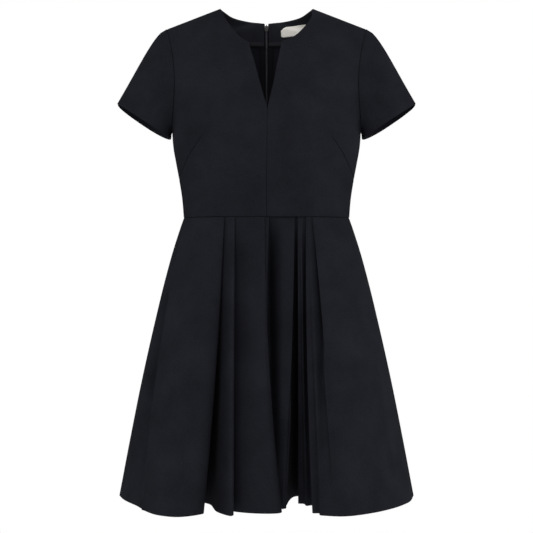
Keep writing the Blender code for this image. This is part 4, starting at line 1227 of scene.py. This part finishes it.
def build_inside_back(bodice, skirt):
    back = Inside(bodice)
    facing = facing_grid(back, *FACING_GRID)
    hemmed = turned(facing, "left", hemmed_edge(FACING_ROLL, FACING_HEM))
    for side, turn_round, band_round in (("left", left_half, flipped),
                                         ("right", from_behind, from_behind)):
        name = "neck_facing_" + side
        piece = cloth_piece(name, turn_round(hemmed), "facing_" + side, "facing", FACING_WALL)
        binding = build_binding(name + "_binding", facing, band_round)
    build_label(facing)
    seam = Inside(bodice, mirrored(skirt))
    tape = tape_grid(seam, *TAPE_GRID)
    for side, turn_round in (("left", left_half), ("right", from_behind)):
        piece = cloth_piece("zip_tape_woven_" + side, turn_round(tape), "zip_tape_" + side, "tape",
                            TAPE_WALL)
    for name, side in (("zip_coil_left", -1), ("zip_coil_right", 1)):
        coil = curve_piece(name, [from_behind(coil_path(seam, side))], COIL_WIRE, "coil")
        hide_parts("zip_coil")


# ---------------------------------------------------------------- the dress

def build_bodice():
    """Four bodice panels, and the plain back for what lies inside it."""
    front, dart, places = front_grid()
    back, back_dart, back_places = back_grid()
    slit = places > FRONT.names.index("v_bottom")
    zipped = back_places >= 0
    for side, grid, groove, folded, creases, place in (
            ("front_left", hanging(front, LEFT_NECK), dart, slit,
             FRONT_CREASES + FRONT_LEFT_EXTRA, in_place),
            ("front_right", hanging(front, RIGHT_NECK), dart, slit,
             FRONT_CREASES + FRONT_RIGHT_EXTRA, mirrored),
            ("back_right", back, back_dart, zipped, BACK_CREASES + BACK_RIGHT_EXTRA, from_behind),
            ("back_left", back, back_dart, zipped, BACK_CREASES + BACK_LEFT_EXTRA, left_half)):
        sewn = place(sew_bodice(grid, groove, folded, creases))
        cloth_piece("crepe_" + side, sewn, "bodice_" + side)
    return back


def build_sleeves():
    grid = sleeve_grid()
    sewn = sew_sleeve(grid)
    for side, place in (("left", in_place), ("right", mirrored)):
        piece = cloth_piece("crepe_sleeve_" + side, place(sewn), "sleeve_" + side)


def build_skirt():
    """Four skirt panels, and the plain back for the zip."""
    left, left_columns = skirt_grid(FRONT_LEFT_FOLDS, WAIST_FRONT)
    right, right_columns = skirt_grid(FRONT_RIGHT_FOLDS, WAIST_FRONT)
    back, back_columns = skirt_grid(BACK_FOLDS, WAIST_BACK)
    for side, grid, seams, place in (
            ("front_right", split_valley(waved(left, left_columns, FRONT_LEFT_WAVES), "before"),
             ("left",), in_place),
            ("front_left", split_valley(waved(right, right_columns, FRONT_RIGHT_WAVES), "after"),
             ("right",), in_place),
            ("back_left", waved(back, back_columns, BACK_LEFT_WAVES), ("left", "right"),
             from_behind),
            ("back_right", waved(back, back_columns, BACK_RIGHT_WAVES), ("left", "right"),
             left_half)):
        sewn = turned(grid, "bottom", hemmed_edge(SKIRT_ROLL, SKIRT_HEM))
        for edge in seams:
            sewn = turned(sewn, edge, rolled_edge(SKIRT_ROLL, gap=PRESSED))
        sewn = place(turned(sewn, "top", rolled_edge(SKIRT_ROLL)))
        piece = cloth_piece("crepe_skirt_" + side, sewn, "skirt_" + side, offset=0.0)
    return back


back_bodice = build_bodice()
build_sleeves()
back_skirt = build_skirt()
build_inside_back(back_bodice, back_skirt)
for metal_node in ("zip_slider", "zip_pull"):
    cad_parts[metal_node].data.materials.clear()
    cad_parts[metal_node].data.materials.append(FINISHES["metal"])


# ---------------------------------------------------------------- studio

FLOOR_Z = -1500.0
FLOOR_RADIUS = 2800.0
FLOOR_SIDES = 96
CAMERA_DISTANCE = 2600.0
CAMERA_HEIGHT = -458.0
FRAME_WIDTH = 986.05  # what the photo's frame spans at the plane of the side seams
SENSOR = 36.0
AMBIENT = 0.40  # the ground's light on the dress, as a share of how bright it shows
SOFTBOXES = (  # name, place in metres, size and power in watts
    ("key softbox", (0.8, -2.5, 0.6), (1.4, 1.4), 10.0),
    ("fill softbox", (-0.9, -2.5, 0.1), (1.4, 1.4), 13.5),
    ("overhead softbox", (0.0, -1.6, 1.9), (2.0, 1.2), 18.5),
    ("side softbox right", (2.2, -0.2, -0.2), (1.2, 1.6), 22.5),
    ("side softbox left", (-2.2, -0.2, -0.2), (1.2, 1.6), 12.5),
    ("back softbox", (0.0, 2.7, 0.4), (1.6, 1.6), 30.0),
)
LIGHT_TARGET = (0.0, 0.0, -0.45)


def area_light(name, place, size, power):
    light = bpy.data.lights.new(name, "AREA")
    light.shape = "RECTANGLE"
    light.size, light.size_y = size
    light.energy = power
    aim = Vector(LIGHT_TARGET) - Vector(place)
    placed(name, light, place, aim.to_track_quat("-Z", "Y").to_euler()).visible_camera = False


def build_world():
    """A white ground, which lights the dress less than it shows."""
    world = bpy.data.worlds.new("studio")
    world.use_nodes = True
    tree = world.node_tree
    background = tree.nodes["Background"]
    background.inputs["Color"].default_value = (1.0, 1.0, 1.0, 1.0)
    rays = tree.nodes.new("ShaderNodeLightPath")
    strength = tree.nodes.new("ShaderNodeMapRange")
    strength.inputs["To Min"].default_value = AMBIENT
    tree.links.new(rays.outputs["Is Camera Ray"], strength.inputs["Value"])
    tree.links.new(strength.outputs["Result"], background.inputs["Strength"])
    bpy.context.scene.world = world


def build_studio():
    build_world()
    for name, place, size, power in SOFTBOXES:
        area_light(name, place, size, power)

    turns = np.linspace(0, 2 * math.pi, FLOOR_SIDES, endpoint=False)
    radius = FLOOR_RADIUS * MM
    mesh = bpy.data.meshes.new("floor")
    mesh.from_pydata([(radius * math.cos(turn), radius * math.sin(turn), 0) for turn in turns],
                     [], [range(FLOOR_SIDES)])
    mesh.materials.append(FINISHES["floor"])
    placed("floor", mesh, (0, 0, FLOOR_Z * MM))

    camera = bpy.data.cameras.new("camera")
    camera.sensor_width = SENSOR
    camera.lens = SENSOR * CAMERA_DISTANCE / FRAME_WIDTH
    bpy.context.scene.camera = placed(
        "camera", camera, (0, -CAMERA_DISTANCE * MM, CAMERA_HEIGHT * MM), (math.pi / 2, 0, 0))

    view = bpy.context.scene.view_settings
    view.view_transform = "Standard"
    view.look = "None"


build_studio()
